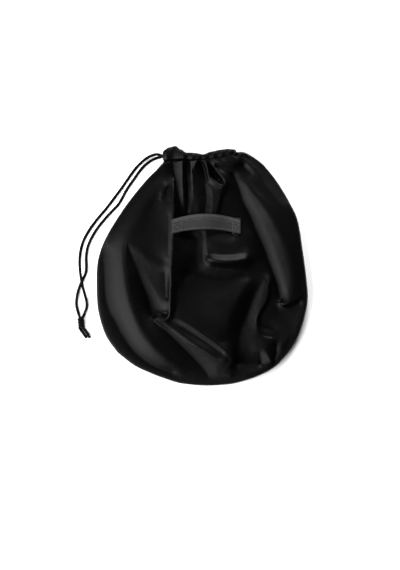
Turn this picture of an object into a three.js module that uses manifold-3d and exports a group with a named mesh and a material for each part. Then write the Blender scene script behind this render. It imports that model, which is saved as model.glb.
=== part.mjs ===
// A soft drawstring bag for a crash helmet, lying empty on its back with its mouth towards +Y.
// Millimetres, +Z up, origin under the middle of the bag on the surface that it lies on.
import * as THREE from 'three';
import { mergeVertices } from 'three/addons/utils/BufferGeometryUtils.js';
import Module from 'manifold-3d';

const manifold = await Module();
manifold.setup();

// Driving dimensions
const bagWidth = 416;
const bagLength = 472;
const clothThickness = 1.6;
const seamHeight = 11;
const foldHeight = 34;
const startShare = 0.6;
const rimReach = 50;
const rimPower = 2.4;
const curlReach = 16;
const touchGap = 0.3;
const cordDiameter = 6;
const tunnelPlay = 1.2;
const neckSlot = 7.4;
const gatherDepth = 1.2;
const gatherWidth = 11;
const casingDepth = 28;
const strapLength = 137;
const strapWidth = 30;
const strapThickness = 3;
const strapBow = 10;
const strapLift = 12;
const leftTab = 20;
const rightTab = 16;
const knotLength = 22;
const knotWidth = 14;
const tailLength = 25;
const frontGrid = { columns: 34, rows: 36 };
const backGrid = { columns: 18, rows: 20 };

// Sizes that follow
const halfWidth = bagWidth / 2;
const halfLength = bagLength / 2;
const cordRadius = cordDiameter / 2;
const tunnelHalf = cordRadius + tunnelPlay;
const casingHalf = tunnelHalf + clothThickness;
const turnRadius = casingHalf + neckSlot / 2;
const backRunZ = casingHalf;
const neckZ = backRunZ + turnRadius;
const frontRunZ = neckZ + turnRadius;

// Outline of the flat bag, [x as a share of half the width, y as a share of half the length]
const leftSide = [
  [-0.365, 0.868], [-0.437, 0.797], [-0.533, 0.714], [-0.688, 0.547], [-0.818, 0.380], [-0.926, 0.213],
  [-0.988, 0.046], [-1.000, -0.146], [-0.985, -0.371], [-0.914, -0.580], [-0.801, -0.724],
];
const rightSide = [
  [0.322, 0.918], [0.352, 0.938], [0.402, 0.935], [0.468, 0.907], [0.544, 0.866], [0.601, 0.821],
  [0.715, 0.695], [0.828, 0.528], [0.905, 0.380], [0.953, 0.129], [0.990, -0.121], [1.000, -0.288],
  [0.963, -0.455], [0.895, -0.622], [0.809, -0.735],
];
const base = [
  [-0.801, -0.724], [-0.649, -0.828], [-0.498, -0.893], [-0.346, -0.944], [-0.195, -0.982],
  [0.033, -1.000], [0.260, -0.988], [0.412, -0.957], [0.563, -0.908], [0.700, -0.836], [0.809, -0.735],
];
const mouthLine = [
  [-0.365, 0.868], [-0.214, 0.881], [-0.053, 0.876], [0.108, 0.881], [0.232, 0.897], [0.322, 0.918],
];

// Height of the gathered hem above the mouth line, [share along the neck, share of the casing's depth]
const casingTop = [
  [0, 0.72], [0.08, 0.95], [0.17, 1.00], [0.25, 0.72], [0.33, 0.52], [0.45, 0.53], [0.57, 0.43],
  [0.69, 0.52], [0.80, 0.58], [0.90, 0.52], [1, 0.44],
];

// Folds of the front, as crest and valley lines through
// [x as a share of half the width, y as a share of half the length, rise as a share of the fold height]
const folds = {
  leftRoll: [
    [-0.40, 0.71, 0.59], [-0.58, 0.50, 0.79], [-0.74, 0.28, 0.88], [-0.81, 0.11, 0.94],
    [-0.81, -0.08, 0.97], [-0.77, -0.26, 0.94], [-0.67, -0.46, 0.88], [-0.54, -0.62, 0.82],
    [-0.38, -0.75, 0.70], [-0.18, -0.86, 0.56],
  ],
  leftBrow: [
    [-0.73, 0.22, 0.94], [-0.70, 0.05, 0.97], [-0.66, -0.15, 0.94], [-0.57, -0.36, 0.85],
    [-0.42, -0.57, 0.73],
  ],
  leftValley: [
    [-0.66, 0.12, 0.76], [-0.61, -0.02, 0.50], [-0.55, -0.20, 0.30], [-0.47, -0.40, 0.24],
    [-0.35, -0.57, 0.24], [-0.23, -0.69, 0.27], [-0.10, -0.81, 0.35],
  ],
  leftField: [[-0.44, 0.50, 0.88], [-0.48, 0.33, 0.91], [-0.43, 0.15, 0.91]],
  leftFacet: [[-0.54, -0.09, 0.65], [-0.47, -0.19, 0.71], [-0.39, -0.27, 0.76], [-0.33, -0.36, 0.85]],
  crease: [
    [-0.30, 0.83, 0.65], [-0.28, 0.60, 0.90], [-0.28, 0.23, 0.97], [-0.30, -0.16, 0.97],
    [-0.31, -0.40, 0.91],
  ],
  creaseFoot: [
    [-0.23, 0.81, 0.40], [-0.21, 0.45, 0.38], [-0.21, 0.05, 0.35], [-0.23, -0.20, 0.50],
    [-0.26, -0.37, 0.70],
  ],
  lowerDiagonal: [
    [-0.47, -0.44, 0.74], [-0.31, -0.54, 0.82], [-0.15, -0.63, 0.79], [0.02, -0.76, 0.73],
    [0.10, -0.86, 0.62], [0.26, -0.90, 0.53], [0.49, -0.86, 0.50],
  ],
  diagonalGroove: [[-0.33, -0.48, 0.68], [-0.06, -0.65, 0.56], [0.16, -0.79, 0.47]],
  upperDiagonal: [[-0.27, -0.45, 0.79], [0.00, -0.62, 0.76], [0.24, -0.76, 0.65]],
  middleField: [[-0.14, -0.15, 0.76], [-0.02, -0.35, 0.79], [0.12, -0.50, 0.79]],
  middleEdge: [[0.43, -0.11, 0.71], [0.33, -0.28, 0.71], [0.26, -0.50, 0.68], [0.24, -0.63, 0.62]],
  middleValley: [[0.56, -0.13, 0.47], [0.45, -0.32, 0.30], [0.37, -0.55, 0.26], [0.33, -0.76, 0.35]],
  middleCrest: [[0.60, -0.09, 0.65], [0.54, -0.24, 0.71], [0.51, -0.45, 0.74], [0.53, -0.64, 0.65]],
  crescent: [[0.63, -0.15, 0.41], [0.58, -0.35, 0.33], [0.60, -0.51, 0.35], [0.73, -0.52, 0.53]],
  lowValley: [[0.71, -0.55, 0.47], [0.68, -0.69, 0.34]],
  rightValley: [
    [0.32, 0.68, 0.44], [0.42, 0.45, 0.27], [0.53, 0.23, 0.22], [0.62, 0.02, 0.22], [0.68, -0.17, 0.29],
    [0.75, -0.33, 0.53],
  ],
  rightCrest: [
    [0.36, 0.74, 0.71], [0.48, 0.55, 0.78], [0.60, 0.28, 0.79], [0.70, 0.03, 0.79], [0.77, -0.31, 0.71],
  ],
  rightBack: [[0.53, 0.63, 0.82], [0.67, 0.36, 0.84], [0.78, 0.08, 0.79], [0.81, -0.20, 0.74]],
  rightTip: [[0.77, -0.32, 0.71], [0.94, -0.24, 0.44]],
  shoulder: [
    [0.38, 0.88, 0.59], [0.47, 0.79, 0.67], [0.60, 0.73, 0.72], [0.74, 0.57, 0.74], [0.83, 0.40, 0.70],
  ],
  tongue: [[-0.04, 0.01, 0.62], [0.12, 0.00, 0.72], [0.38, 0.04, 0.71]],
  tongueTop: [[0.06, 0.10, 0.50], [0.24, 0.09, 0.48], [0.42, 0.13, 0.53]],
  tongueFoot: [[-0.16, -0.10, 0.41], [0.08, -0.10, 0.44], [0.46, -0.02, 0.46]],
  stem: [[0.03, 0.28, 0.58], [0.01, 0.17, 0.62], [0.04, 0.07, 0.62]],
  hollow: [[-0.13, 0.24, 0.35], [-0.12, 0.03, 0.35]],
  rightStart: [[0.24, 0.61, 0.66], [0.33, 0.36, 0.62], [0.48, 0.04, 0.56]],
  firstPleat: [[-0.23, 0.84, 0.68], [-0.22, 0.60, 0.60]],
  firstGroove: [[-0.18, 0.84, 0.38], [-0.17, 0.52, 0.35]],
  secondPleat: [[-0.13, 0.84, 0.71], [-0.11, 0.62, 0.70], [-0.14, 0.42, 0.53]],
  secondGroove: [[-0.07, 0.80, 0.40], [-0.06, 0.46, 0.37]],
  flap: [[0.01, 0.85, 0.74], [0.07, 0.70, 0.79], [0.07, 0.45, 0.70]],
  flapFoot: [[0.12, 0.80, 0.44], [0.16, 0.62, 0.44], [0.14, 0.45, 0.44]],
};

// Route of the two cord ends over the table, [x, y] from where they come down to the knot
const routeA = [
  [-89, 220], [-101, 217.5], [-113.5, 210], [-129, 195.5], [-142, 178.5], [-158.5, 154.5], [-173, 135],
  [-189, 114], [-205.5, 94.5], [-221, 74], [-233.5, 52], [-240, 30.5], [-241.8, 11], [-240.6, -8],
  [-238.6, -24.5], [-235.8, -39], [-231.8, -55], [-228.2, -70], [-228.2, -82], [-231.6, -92],
  [-235, -99.8],
];
const routeB = [
  [-88, 213.5], [-98, 209.5], [-109, 202.5], [-121, 190.5], [-133.5, 173], [-148.5, 151.5],
  [-157.5, 135], [-165.5, 121.5], [-177, 109.5], [-192, 93], [-206.5, 75], [-219.5, 53.5], [-226.5, 35],
  [-229, 16], [-228.5, 0], [-229.5, -13], [-234.5, -24], [-240, -35.5], [-245.3, -50.5], [-248.2, -67],
  [-248, -80], [-245.2, -91], [-242.4, -99.8],
];
const crossing = [-237.5, -27.5];
const crossingTop = 17;
const crossingRamp = 30;
const wrapTurn = 0.25;
const tailTurn = 0.6;

const cloth = new THREE.MeshStandardMaterial({ color: 0x0b0b0c, roughness: 0.42, metalness: 0 });
const webbing = new THREE.MeshStandardMaterial({ color: 0x1b1b1c, roughness: 0.75, metalness: 0 });
const braid = new THREE.MeshStandardMaterial({ color: 0x0a0a0a, roughness: 0.8, metalness: 0 });

const mix = (a, b, t) => a + (b - a) * t;
const clamp = (t) => Math.min(1, Math.max(0, t));
const ease = (t) => clamp(t) ** 2 * (3 - 2 * clamp(t));

function planCurve(points) {
  return new THREE.SplineCurve(points.map(([x, y]) => new THREE.Vector2(x * halfWidth, y * halfLength)));
}

const leftCurve = planCurve(leftSide);
const rightCurve = planCurve(rightSide);
const baseCurve = planCurve(base);
const mouthCurve = planCurve(mouthLine);

// A point of the flat sheet between its four edges, u from left to right and v from the mouth to the base
function planPoint(u, v) {
  const on = (curve, t) => curve.getPointAt(t);
  const along = on(mouthCurve, u).multiplyScalar(1 - v).add(on(baseCurve, u).multiplyScalar(v));
  const across = on(leftCurve, v).multiplyScalar(1 - u).add(on(rightCurve, v).multiplyScalar(u));
  const top = on(mouthCurve, 0).multiplyScalar(1 - u).add(on(mouthCurve, 1).multiplyScalar(u));
  const low = on(baseCurve, 0).multiplyScalar(1 - u).add(on(baseCurve, 1).multiplyScalar(u));
  return along.add(across).sub(top.multiplyScalar(1 - v)).sub(low.multiplyScalar(v));
}

const outlineSteps = 120;
const outline = [
  ...leftCurve.getSpacedPoints(outlineSteps),
  ...baseCurve.getSpacedPoints(outlineSteps).slice(1),
  ...rightCurve.getSpacedPoints(outlineSteps).reverse().slice(1),
];

function segmentDistance(p, a, b) {
  const run = new THREE.Vector2().subVectors(b, a);
  const reach = new THREE.Vector2().subVectors(p, a);
  const share = clamp(reach.dot(run) / run.lengthSq());
  return reach.addScaledVector(run, -share).length();
}

function outlineDistance(p) {
  let nearest = Infinity;
  for (let i = 1; i < outline.length; i += 1) {
    nearest = Math.min(nearest, segmentDistance(p, outline[i - 1], outline[i]));
  }
  return nearest;
}

// The folds' heights on an even grid: held on the fold lines, and stretched evenly between them
const cell = 6;
const gridColumns = Math.ceil(bagWidth / cell) + 3;
const gridRows = Math.ceil(bagLength / cell) + 3;

function stretchFolds() {
  const held = new Map();
  for (const line of Object.values(folds)) {
    const curve = new THREE.CatmullRomCurve3(
      line.map(([x, y, rise]) => new THREE.Vector3(x * halfWidth, y * halfLength, rise * foldHeight)));
    for (const point of curve.getSpacedPoints(Math.ceil(curve.getLength() / (cell / 2)))) {
      const column = Math.round((point.x + halfWidth) / cell) + 1;
      const row = Math.round((point.y + halfLength) / cell) + 1;
      const key = row * gridColumns + column;
      held.set(key, [...(held.get(key) ?? []), point.z]);
    }
  }
  const height = new Float64Array(gridColumns * gridRows).fill(startShare * foldHeight);
  for (const [key, values] of held) {
    height[key] = values.reduce((sum, value) => sum + value, 0) / values.length;
  }
  const stretchSweeps = 400;
  const stretchPull = 1.85;
  const softenSweeps = 2;
  const softenPull = 0.6;
  for (let sweep = 0; sweep < stretchSweeps; sweep += 1) pullEven(height, stretchPull, held);
  for (let sweep = 0; sweep < softenSweeps; sweep += 1) pullEven(height, softenPull, new Map());
  return height;
}

// Moves each height that isn't held towards the mean of its four neighbours
function pullEven(height, pull, held) {
  for (let row = 0; row < gridRows; row += 1) {
    for (let column = 0; column < gridColumns; column += 1) {
      const here = row * gridColumns + column;
      if (held.has(here)) continue;
      const west = height[column > 0 ? here - 1 : here];
      const east = height[column < gridColumns - 1 ? here + 1 : here];
      const south = height[row > 0 ? here - gridColumns : here];
      const north = height[row < gridRows - 1 ? here + gridColumns : here];
      height[here] += pull * ((west + east + south + north) / 4 - height[here]);
    }
  }
}

const foldGrid = stretchFolds();

function foldRise(x, y) {
  const column = Math.min(gridColumns - 1.001, Math.max(0, (x + halfWidth) / cell + 1));
  const row = Math.min(gridRows - 1.001, Math.max(0, (y + halfLength) / cell + 1));
  const i = Math.floor(column);
  const j = Math.floor(row);
  const at = (a, b) => foldGrid[b * gridColumns + a];
  const south = mix(at(i, j), at(i + 1, j), column - i);
  const north = mix(at(i, j + 1), at(i + 1, j + 1), column - i);
  return mix(south, north, row - j);
}

// The strap's two sewn ends and its middle, in plan
const strapCentre = { x: 0.03 * halfWidth, y: 0.323 * halfLength };
const strapEnds = [
  { x: strapCentre.x - (strapLength - leftTab) / 2, reach: leftTab / 2, rise: 0.80 },
  { x: strapCentre.x + (strapLength - rightTab) / 2, reach: rightTab / 2, rise: 0.56 },
];
const seatEase = 12;
const seatMargin = 12;

// The cloth lies flat under the strap's sewn ends
function seated(x, y, z) {
  let height = z;
  for (const end of strapEnds) {
    const apartX = Math.abs(x - end.x) - end.reach - seatMargin;
    const apartY = Math.abs(y - strapCentre.y) - strapWidth / 2 - seatMargin;
    const grip = 1 - ease(Math.max(apartX, apartY) / seatEase);
    height = mix(height, seamHeight + end.rise * foldHeight, grip);
  }
  return height;
}

// The neck: the casing's centre line in x and z is two straight runs joined by a half turn at the right
const neckLeft = mouthCurve.getPointAt(0).x;
const neckRight = mouthCurve.getPointAt(1).x - casingHalf - touchGap;
const turnX = neckRight - turnRadius;
const neckWidth = neckRight - neckLeft;

// How far the mouth's edge stands above or below the middle of the neck, from 0 at its corners to 1
function neckOpen(x) {
  const cornerLeft = clamp((neckLeft + turnRadius - x) / turnRadius);
  const cornerRight = clamp((x - turnX) / (mouthCurve.getPointAt(1).x - turnX));
  return Math.sqrt(1 - Math.max(cornerLeft, cornerRight) ** 2);
}

const mouthSamples = mouthCurve.getSpacedPoints(outlineSteps);

function mouthY(x) {
  let i = 1;
  while (i < outlineSteps && mouthSamples[i].x < x) i += 1;
  const a = mouthSamples[i - 1];
  const b = mouthSamples[i];
  return mix(a.y, b.y, clamp((x - a.x) / (b.x - a.x)));
}

function casingRise(share) {
  let i = 1;
  while (i < casingTop.length - 1 && casingTop[i][0] < share) i += 1;
  const [a, b] = [casingTop[i - 1], casingTop[i]];
  return casingDepth * mix(a[1], b[1], ease((share - a[0]) / (b[0] - a[0])));
}

const sideEase = 0.16;
const mouthEase = 34;
const hemGap = 2 * touchGap;
const sideSeam = (v) => mix(neckZ, seamHeight, ease(v / sideEase));

// Outer face of the front sheet
function frontPoint(u, v) {
  const p = planPoint(u, v);
  const inward = clamp(outlineDistance(p) / rimReach);
  const rim = Math.sqrt(Math.max(0, 1 - (1 - inward) ** rimPower));
  const seam = sideSeam(v) + touchGap / 2;
  const relief = seated(p.x, p.y, seam + foldRise(p.x, p.y) * rim);
  const atMouth = neckZ + touchGap / 2 + (turnRadius + clothThickness / 2) * neckOpen(p.x);
  const edge = ease((v * bagLength) / mouthEase);
  const z = u === 0 || u === 1 || v === 1 ? seam : mix(atMouth, relief, edge);
  return new THREE.Vector3(p.x, p.y - (v === 0 ? hemGap : 0), z);
}

// Outer face of the back sheet, flat on the table with its rim curled up to the seam
function backPoint(u, v) {
  const p = planPoint(u, v);
  const inward = clamp(outlineDistance(p) / curlReach);
  const seam = sideSeam(v) - touchGap / 2;
  const curl = seam * (1 - Math.sqrt(Math.max(0, 1 - (1 - inward) ** 2)));
  const atMouth = neckZ - touchGap / 2 - (turnRadius + clothThickness / 2) * neckOpen(p.x);
  const edge = ease((v * bagLength) / mouthEase);
  const z = u === 0 || u === 1 || v === 1 ? seam : mix(atMouth, curl, edge);
  return new THREE.Vector3(p.x, p.y - (v === 0 ? hemGap : 0), z);
}

// Steps closer together near the rim, where the sheet turns down
const rimCrowding = 0.4;
const crowd = (t) => t - (rimCrowding * Math.sin(2 * Math.PI * t)) / (2 * Math.PI);
const crowdBase = (t) => t + (rimCrowding * Math.sin(Math.PI * t)) / Math.PI;

// A sheet of cloth with a constant wall; side is 1 when the outer face looks up, -1 when it looks down
function clothSheet(pointAt, { columns, rows }, side) {
  const wide = columns + 1;
  const outer = [];
  for (let j = 0; j <= rows; j += 1) {
    for (let i = 0; i <= columns; i += 1) {
      outer.push(pointAt(crowd(i / columns), j === rows ? 1 : crowdBase(j / rows)));
    }
  }
  const inner = outer.map((point, index) => {
    const i = index % wide;
    const j = Math.floor(index / wide);
    const east = outer[j * wide + Math.min(columns, i + 1)];
    const west = outer[j * wide + Math.max(0, i - 1)];
    const down = outer[Math.min(rows, j + 1) * wide + i];
    const up = outer[Math.max(0, j - 1) * wide + i];
    const normal = new THREE.Vector3().subVectors(east, west)
      .cross(new THREE.Vector3().subVectors(up, down)).multiplyScalar(side);
    const onRim = i === 0 || i === columns || j === rows;
    if (j === 0) normal.y = 0;
    if (j === 0 && onRim) normal.set(i === 0 ? -1 : 1, 0, 0);
    if (j > 0 && onRim) normal.copy(rimNormal(outer, i, j, columns, rows, wide));
    normal.normalize();
    return point.clone().addScaledVector(normal, -clothThickness);
  });
  return closeSheet(outer, inner, columns, rows, side);
}

function rimNormal(outer, i, j, columns, rows, wide) {
  const ring = [];
  for (let r = 0; r <= rows; r += 1) ring.push(outer[r * wide]);
  for (let c = 1; c <= columns; c += 1) ring.push(outer[rows * wide + c]);
  for (let r = rows - 1; r >= 0; r -= 1) ring.push(outer[r * wide + columns]);
  const place = ring.indexOf(outer[j * wide + i]);
  const next = ring[Math.min(ring.length - 1, place + 1)];
  const run = new THREE.Vector3().subVectors(next, ring[Math.max(0, place - 1)]);
  return new THREE.Vector3(run.y, -run.x, 0);
}

function closeSheet(outer, inner, columns, rows, side) {
  const wide = columns + 1;
  const count = outer.length;
  const faces = [];
  const quad = (a, b, c, d) => {
    const corners = side > 0 ? [a, b, c, a, c, d] : [a, c, b, a, d, c];
    faces.push(...corners);
  };
  for (let j = 0; j < rows; j += 1) {
    for (let i = 0; i < columns; i += 1) {
      const a = j * wide + i;
      quad(a, a + wide, a + wide + 1, a + 1);
      quad(count + a, count + a + 1, count + a + wide + 1, count + a + wide);
    }
  }
  for (let i = 0; i < columns; i += 1) {
    const low = rows * wide + i;
    quad(i, i + 1, count + i + 1, count + i);
    quad(low + 1, low, count + low, count + low + 1);
  }
  for (let j = 0; j < rows; j += 1) {
    const left = j * wide;
    const right = left + columns;
    quad(left + wide, left, count + left, count + left + wide);
    quad(right, right + wide, count + right + wide, count + right);
  }
  return bodyFrom([...outer, ...inner], faces);
}

function bodyFrom(points, faces) {
  const geometry = new THREE.BufferGeometry();
  const places = points.flatMap((point) => point.toArray());
  geometry.setAttribute('position', new THREE.Float32BufferAttribute(places, 3));
  geometry.setIndex(faces);
  geometry.computeVertexNormals();
  return geometry;
}

// Stations of the casing: centre, direction across the wall, foot and head in y
const runSteps = 2 * Math.round(neckWidth / gatherWidth);
const turnSteps = 10;
const endTurn = 0.7;
const endSteps = 2;

function neckStations() {
  const stations = [];
  const add = (x, z, acrossX, acrossZ) => stations.push({ x, z, acrossX, acrossZ });
  for (let i = 0; i <= runSteps; i += 1) {
    add(mix(neckLeft, turnX, i / runSteps), backRunZ, 0, -1);
  }
  for (let i = 1; i < turnSteps; i += 1) {
    const angle = (Math.PI * i) / turnSteps;
    add(turnX + turnRadius * Math.sin(angle), neckZ - turnRadius * Math.cos(angle),
      Math.sin(angle), -Math.cos(angle));
  }
  for (let i = 0; i <= runSteps; i += 1) {
    add(mix(turnX, neckLeft + turnRadius, i / runSteps), frontRunZ, 0, 1);
  }
  for (let i = 1; i <= endSteps; i += 1) {
    const angle = (endTurn * i) / endSteps;
    add(neckLeft + turnRadius * (1 - Math.sin(angle)), neckZ + turnRadius * Math.cos(angle),
      -Math.sin(angle), Math.cos(angle));
  }
  return stations.map((station) => {
    const foot = mouthY(station.x);
    const share = clamp((station.x - neckLeft) / neckWidth);
    return { ...station, foot, head: foot + casingRise(share) };
  });
}

const stations = neckStations();
const sectionSides = 8;

function casingRing(station, wall, gather) {
  const ring = [];
  const halfHeight = (station.head - station.foot) / 2 - wall;
  const middle = (station.head + station.foot) / 2;
  for (let k = 0; k < sectionSides; k += 1) {
    const angle = (2 * Math.PI * k) / sectionSides;
    const across = (casingHalf - wall + gather * Math.max(0, Math.cos(angle))) * Math.cos(angle);
    ring.push(new THREE.Vector3(
      station.x + station.acrossX * across,
      middle + halfHeight * Math.sin(angle),
      station.z + station.acrossZ * across));
  }
  return ring;
}

function drawcordCasing() {
  const points = [];
  const faces = [];
  const last = stations.length - 1;
  for (let s = 0; s <= last; s += 1) {
    const onRun = stations[s].acrossZ > 0.99;
    points.push(...casingRing(stations[s], 0, onRun && s % 2 === 0 ? gatherDepth : 0));
    points.push(...casingRing(stations[s], clothThickness, 0));
  }
  const at = (s, layer, k) => (2 * s + layer) * sectionSides + (k % sectionSides);
  const quad = (a, b, c, d) => faces.push(a, c, b, a, d, c);
  for (let k = 0; k < sectionSides; k += 1) {
    for (let s = 0; s < last; s += 1) {
      quad(at(s, 0, k), at(s + 1, 0, k), at(s + 1, 0, k + 1), at(s, 0, k + 1));
      quad(at(s, 1, k), at(s, 1, k + 1), at(s + 1, 1, k + 1), at(s + 1, 1, k));
    }
    quad(at(0, 0, k), at(0, 0, k + 1), at(0, 1, k + 1), at(0, 1, k));
    quad(at(last, 0, k), at(last, 1, k), at(last, 1, k + 1), at(last, 0, k + 1));
  }
  return bodyFrom(points, faces);
}

// Cords are round rods bent along a smooth line
function cordAlong(points, steps, sides = 8) {
  const round = new THREE.Shape();
  for (let k = 0; k < sides; k += 1) {
    const angle = (2 * Math.PI * (k + 0.5)) / sides;
    const [x, y] = [cordRadius * Math.cos(angle), cordRadius * Math.sin(angle)];
    if (k === 0) round.moveTo(x, y);
    else round.lineTo(x, y);
  }
  round.closePath();
  const extrudePath = new THREE.CatmullRomCurve3(points);
  const rod = new THREE.ExtrudeGeometry(round, { steps, extrudePath, bevelEnabled: false });
  return weld(rod);
}

function weld(geometry) {
  geometry.deleteAttribute('normal');
  geometry.deleteAttribute('uv');
  const merged = mergeVertices(geometry, 1e-4);
  merged.computeVertexNormals();
  return merged;
}

const cordStep = 2.8 * cordDiameter;

function stepsFor(points) {
  return Math.max(2, Math.round(new THREE.CatmullRomCurve3(points).getLength() / cordStep));
}

// The hidden cord follows the casing and comes out of its two ends near the top edge
const exitHeight = { front: 0.3 * cordDiameter, back: 0.1 * cordDiameter };
const exitStations = 10;
const hiddenSteps = 48;

function hiddenCordPoints() {
  const last = stations.length - 1;
  return stations.map((station, s) => {
    const middle = (station.head + station.foot) / 2;
    const fromFront = 1 - ease((last - s) / exitStations);
    const fromBack = 1 - ease(s / exitStations);
    const lift = exitHeight.front * fromFront + exitHeight.back * fromBack;
    return new THREE.Vector3(station.x, middle + lift, station.z);
  });
}

function leave(point, previous, distance) {
  const heading = new THREE.Vector3().subVectors(point, previous).normalize();
  return point.clone().addScaledVector(heading, distance);
}

const hiddenCord = hiddenCordPoints();
const floorZ = cordRadius + 0.1;
const dropShare = 0.25;

function humpZ(x, y) {
  const apart = Math.hypot(x - crossing[0], y - crossing[1]) - crossingTop;
  return floorZ + (cordDiameter + 2 * touchGap) * (1 - ease(apart / crossingRamp));
}

function freeCordPoints(route, start, previous, crosses) {
  const exit = leave(start, previous, touchGap);
  const away = leave(start, previous, cordDiameter);
  const laid = route.map(([x, y], i) => {
    const fall = i === 0 ? mix(floorZ, away.z, dropShare) : floorZ;
    return new THREE.Vector3(x, y, crosses ? Math.max(fall, humpZ(x, y)) : fall);
  });
  return [exit, away, ...laid];
}

const lastStation = hiddenCord.length - 1;
const cordA = freeCordPoints(routeA, hiddenCord[lastStation], hiddenCord[lastStation - 1], true);
const cordB = freeCordPoints(routeB, hiddenCord[0], hiddenCord[1], false);

// The knot: both ends wrapped by three turns of cord, with two tails
function asSolid(geometry) {
  const welded = weld(geometry.index ? geometry.toNonIndexed() : geometry);
  const mesh = new manifold.Mesh({
    numProp: 3,
    vertProperties: new Float32Array(welded.attributes.position.array),
    triVerts: new Uint32Array(welded.index.array),
  });
  return new manifold.Manifold(mesh);
}

function fromSolid(solid) {
  const { vertProperties, triVerts } = solid.getMesh();
  const geometry = new THREE.BufferGeometry();
  geometry.setAttribute('position', new THREE.BufferAttribute(new Float32Array(vertProperties), 3));
  geometry.setIndex(new THREE.BufferAttribute(new Uint32Array(triVerts), 1));
  geometry.computeVertexNormals();
  return geometry;
}

function knotBody() {
  const wrapRadius = (knotWidth - cordDiameter) / 2;
  const middleZ = knotWidth / 2 + 0.2;
  const [endA, endB] = [cordA.at(-1), cordB.at(-1)];
  const top = new THREE.Vector3((endA.x + endB.x) / 2, (endA.y + endB.y) / 2, 0);
  const at = (down, side, z) => new THREE.Vector3(top.x + side, top.y - down, z);
  const strand = (cord, side) => {
    const [previous, end] = cord.slice(-2);
    const core = 0.7 * side;
    const foot = at(knotLength, side, floorZ + 0.4);
    const tail = foot.clone();
    tail.x += tailLength * Math.sin(tailTurn);
    tail.y -= tailLength * Math.cos(tailTurn);
    const middle = foot.clone().lerp(tail, 0.5);
    const points = [leave(end, previous, touchGap), leave(end, previous, touchGap + 1),
      at(0.3 * knotLength, core, middleZ - 1), at(0.75 * knotLength, core, middleZ - 1), foot, middle, tail];
    return asSolid(cordAlong(points, 9));
  };
  const apart = cordRadius + touchGap;
  let knot = strand(cordA, apart).add(strand(cordB, -apart));
  const wraps = 3;
  for (let i = 0; i < wraps; i += 1) {
    const wrap = new THREE.TorusGeometry(wrapRadius, cordRadius, 8, 10);
    wrap.rotateX(Math.PI / 2);
    wrap.rotateZ(wrapTurn);
    const place = at(cordRadius + 1 + ((knotLength - cordDiameter - 1) * i) / (wraps - 1), 0, middleZ);
    wrap.translate(place.x, place.y, place.z);
    knot = knot.add(asSolid(wrap));
  }
  return fromSolid(knot);
}

// The carrying strap: flat under its sewn ends, arched between them and bowed towards the mouth
function strapSolid() {
  const [left, right] = strapEnds;
  const from = left.x - left.reach;
  const spanFrom = left.x + left.reach;
  const spanTo = right.x - right.reach;
  const seatZ = (end) => seamHeight + end.rise * foldHeight + touchGap;
  const steps = 16;
  const bevel = strapThickness * 0.3;
  const half = strapWidth / 2;
  const section = [
    [-half, bevel], [-half + bevel, 0], [half - bevel, 0], [half, bevel],
    [half, strapThickness - bevel], [half - bevel, strapThickness],
    [-half + bevel, strapThickness], [-half, strapThickness - bevel],
  ];
  const points = [];
  for (let s = 0; s <= steps; s += 1) {
    const x = from + (strapLength * s) / steps;
    const share = clamp((x - spanFrom) / (spanTo - spanFrom));
    const bow = strapBow * (1 - ((x - strapCentre.x) / (strapLength / 2)) ** 2);
    const rise = mix(seatZ(left), seatZ(right), ease(share)) + strapLift * Math.sin(Math.PI * share) ** 2;
    for (const [y, z] of section) {
      points.push(new THREE.Vector3(x, strapCentre.y - strapBow / 3 + bow + y, rise + z));
    }
  }
  const around = section.length;
  const faces = [];
  for (let s = 0; s < steps; s += 1) {
    for (let k = 0; k < around; k += 1) {
      const a = s * around + k;
      const b = s * around + ((k + 1) % around);
      faces.push(a, b, b + around, a, b + around, a + around);
    }
  }
  const end = steps * around;
  for (let k = 1; k < around - 1; k += 1) {
    faces.push(0, k + 1, k, end, end + k, end + k + 1);
  }
  return bodyFrom(points, faces);
}

const part = new THREE.Group();

function addPiece(name, geometry, material) {
  const mesh = new THREE.Mesh(geometry, material.clone());
  mesh.name = name;
  part.add(mesh);
}

addPiece('front_panel', clothSheet(frontPoint, frontGrid, 1), cloth);
addPiece('back_panel', clothSheet(backPoint, backGrid, -1), cloth);
addPiece('drawcord_casing', drawcordCasing(), cloth);
addPiece('cord_in_casing', cordAlong(hiddenCord, hiddenSteps), braid);
addPiece('cord_run_a', cordAlong(cordA, stepsFor(cordA)), braid);
addPiece('cord_run_b', cordAlong(cordB, stepsFor(cordB)), braid);
addPiece('cord_knot', knotBody(), braid);
addPiece('handle_strap', strapSolid(), webbing);

export default part;
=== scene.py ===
import math

import bpy
import numpy as np
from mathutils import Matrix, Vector


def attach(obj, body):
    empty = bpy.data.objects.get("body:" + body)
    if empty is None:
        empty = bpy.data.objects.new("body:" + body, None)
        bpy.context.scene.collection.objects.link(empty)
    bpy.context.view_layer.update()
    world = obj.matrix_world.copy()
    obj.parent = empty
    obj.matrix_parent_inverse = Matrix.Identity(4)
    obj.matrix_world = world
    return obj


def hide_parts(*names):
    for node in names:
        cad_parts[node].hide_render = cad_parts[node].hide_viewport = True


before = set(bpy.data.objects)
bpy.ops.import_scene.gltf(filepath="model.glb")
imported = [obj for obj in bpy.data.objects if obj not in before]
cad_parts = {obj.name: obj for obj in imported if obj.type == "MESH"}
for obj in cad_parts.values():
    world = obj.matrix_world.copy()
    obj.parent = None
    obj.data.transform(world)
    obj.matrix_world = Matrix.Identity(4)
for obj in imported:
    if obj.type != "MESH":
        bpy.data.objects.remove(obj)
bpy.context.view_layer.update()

# Driving dimensions, in metres
MM = 0.001
BAG_WIDTH = 0.416
BAG_LENGTH = 0.472
CLOTH_THICKNESS = 0.0016
SEAM_HEIGHT = 0.011
RIM_REACH = 0.005
CURL_REACH = 0.016
TOUCH_GAP = 0.0003
TABLE_GAP = 0.0001
CORD_DIAMETER = 0.006
TUNNEL_PLAY = 0.0012
NECK_SLOT = 0.0074
CASING_DEPTH = 0.028
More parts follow.
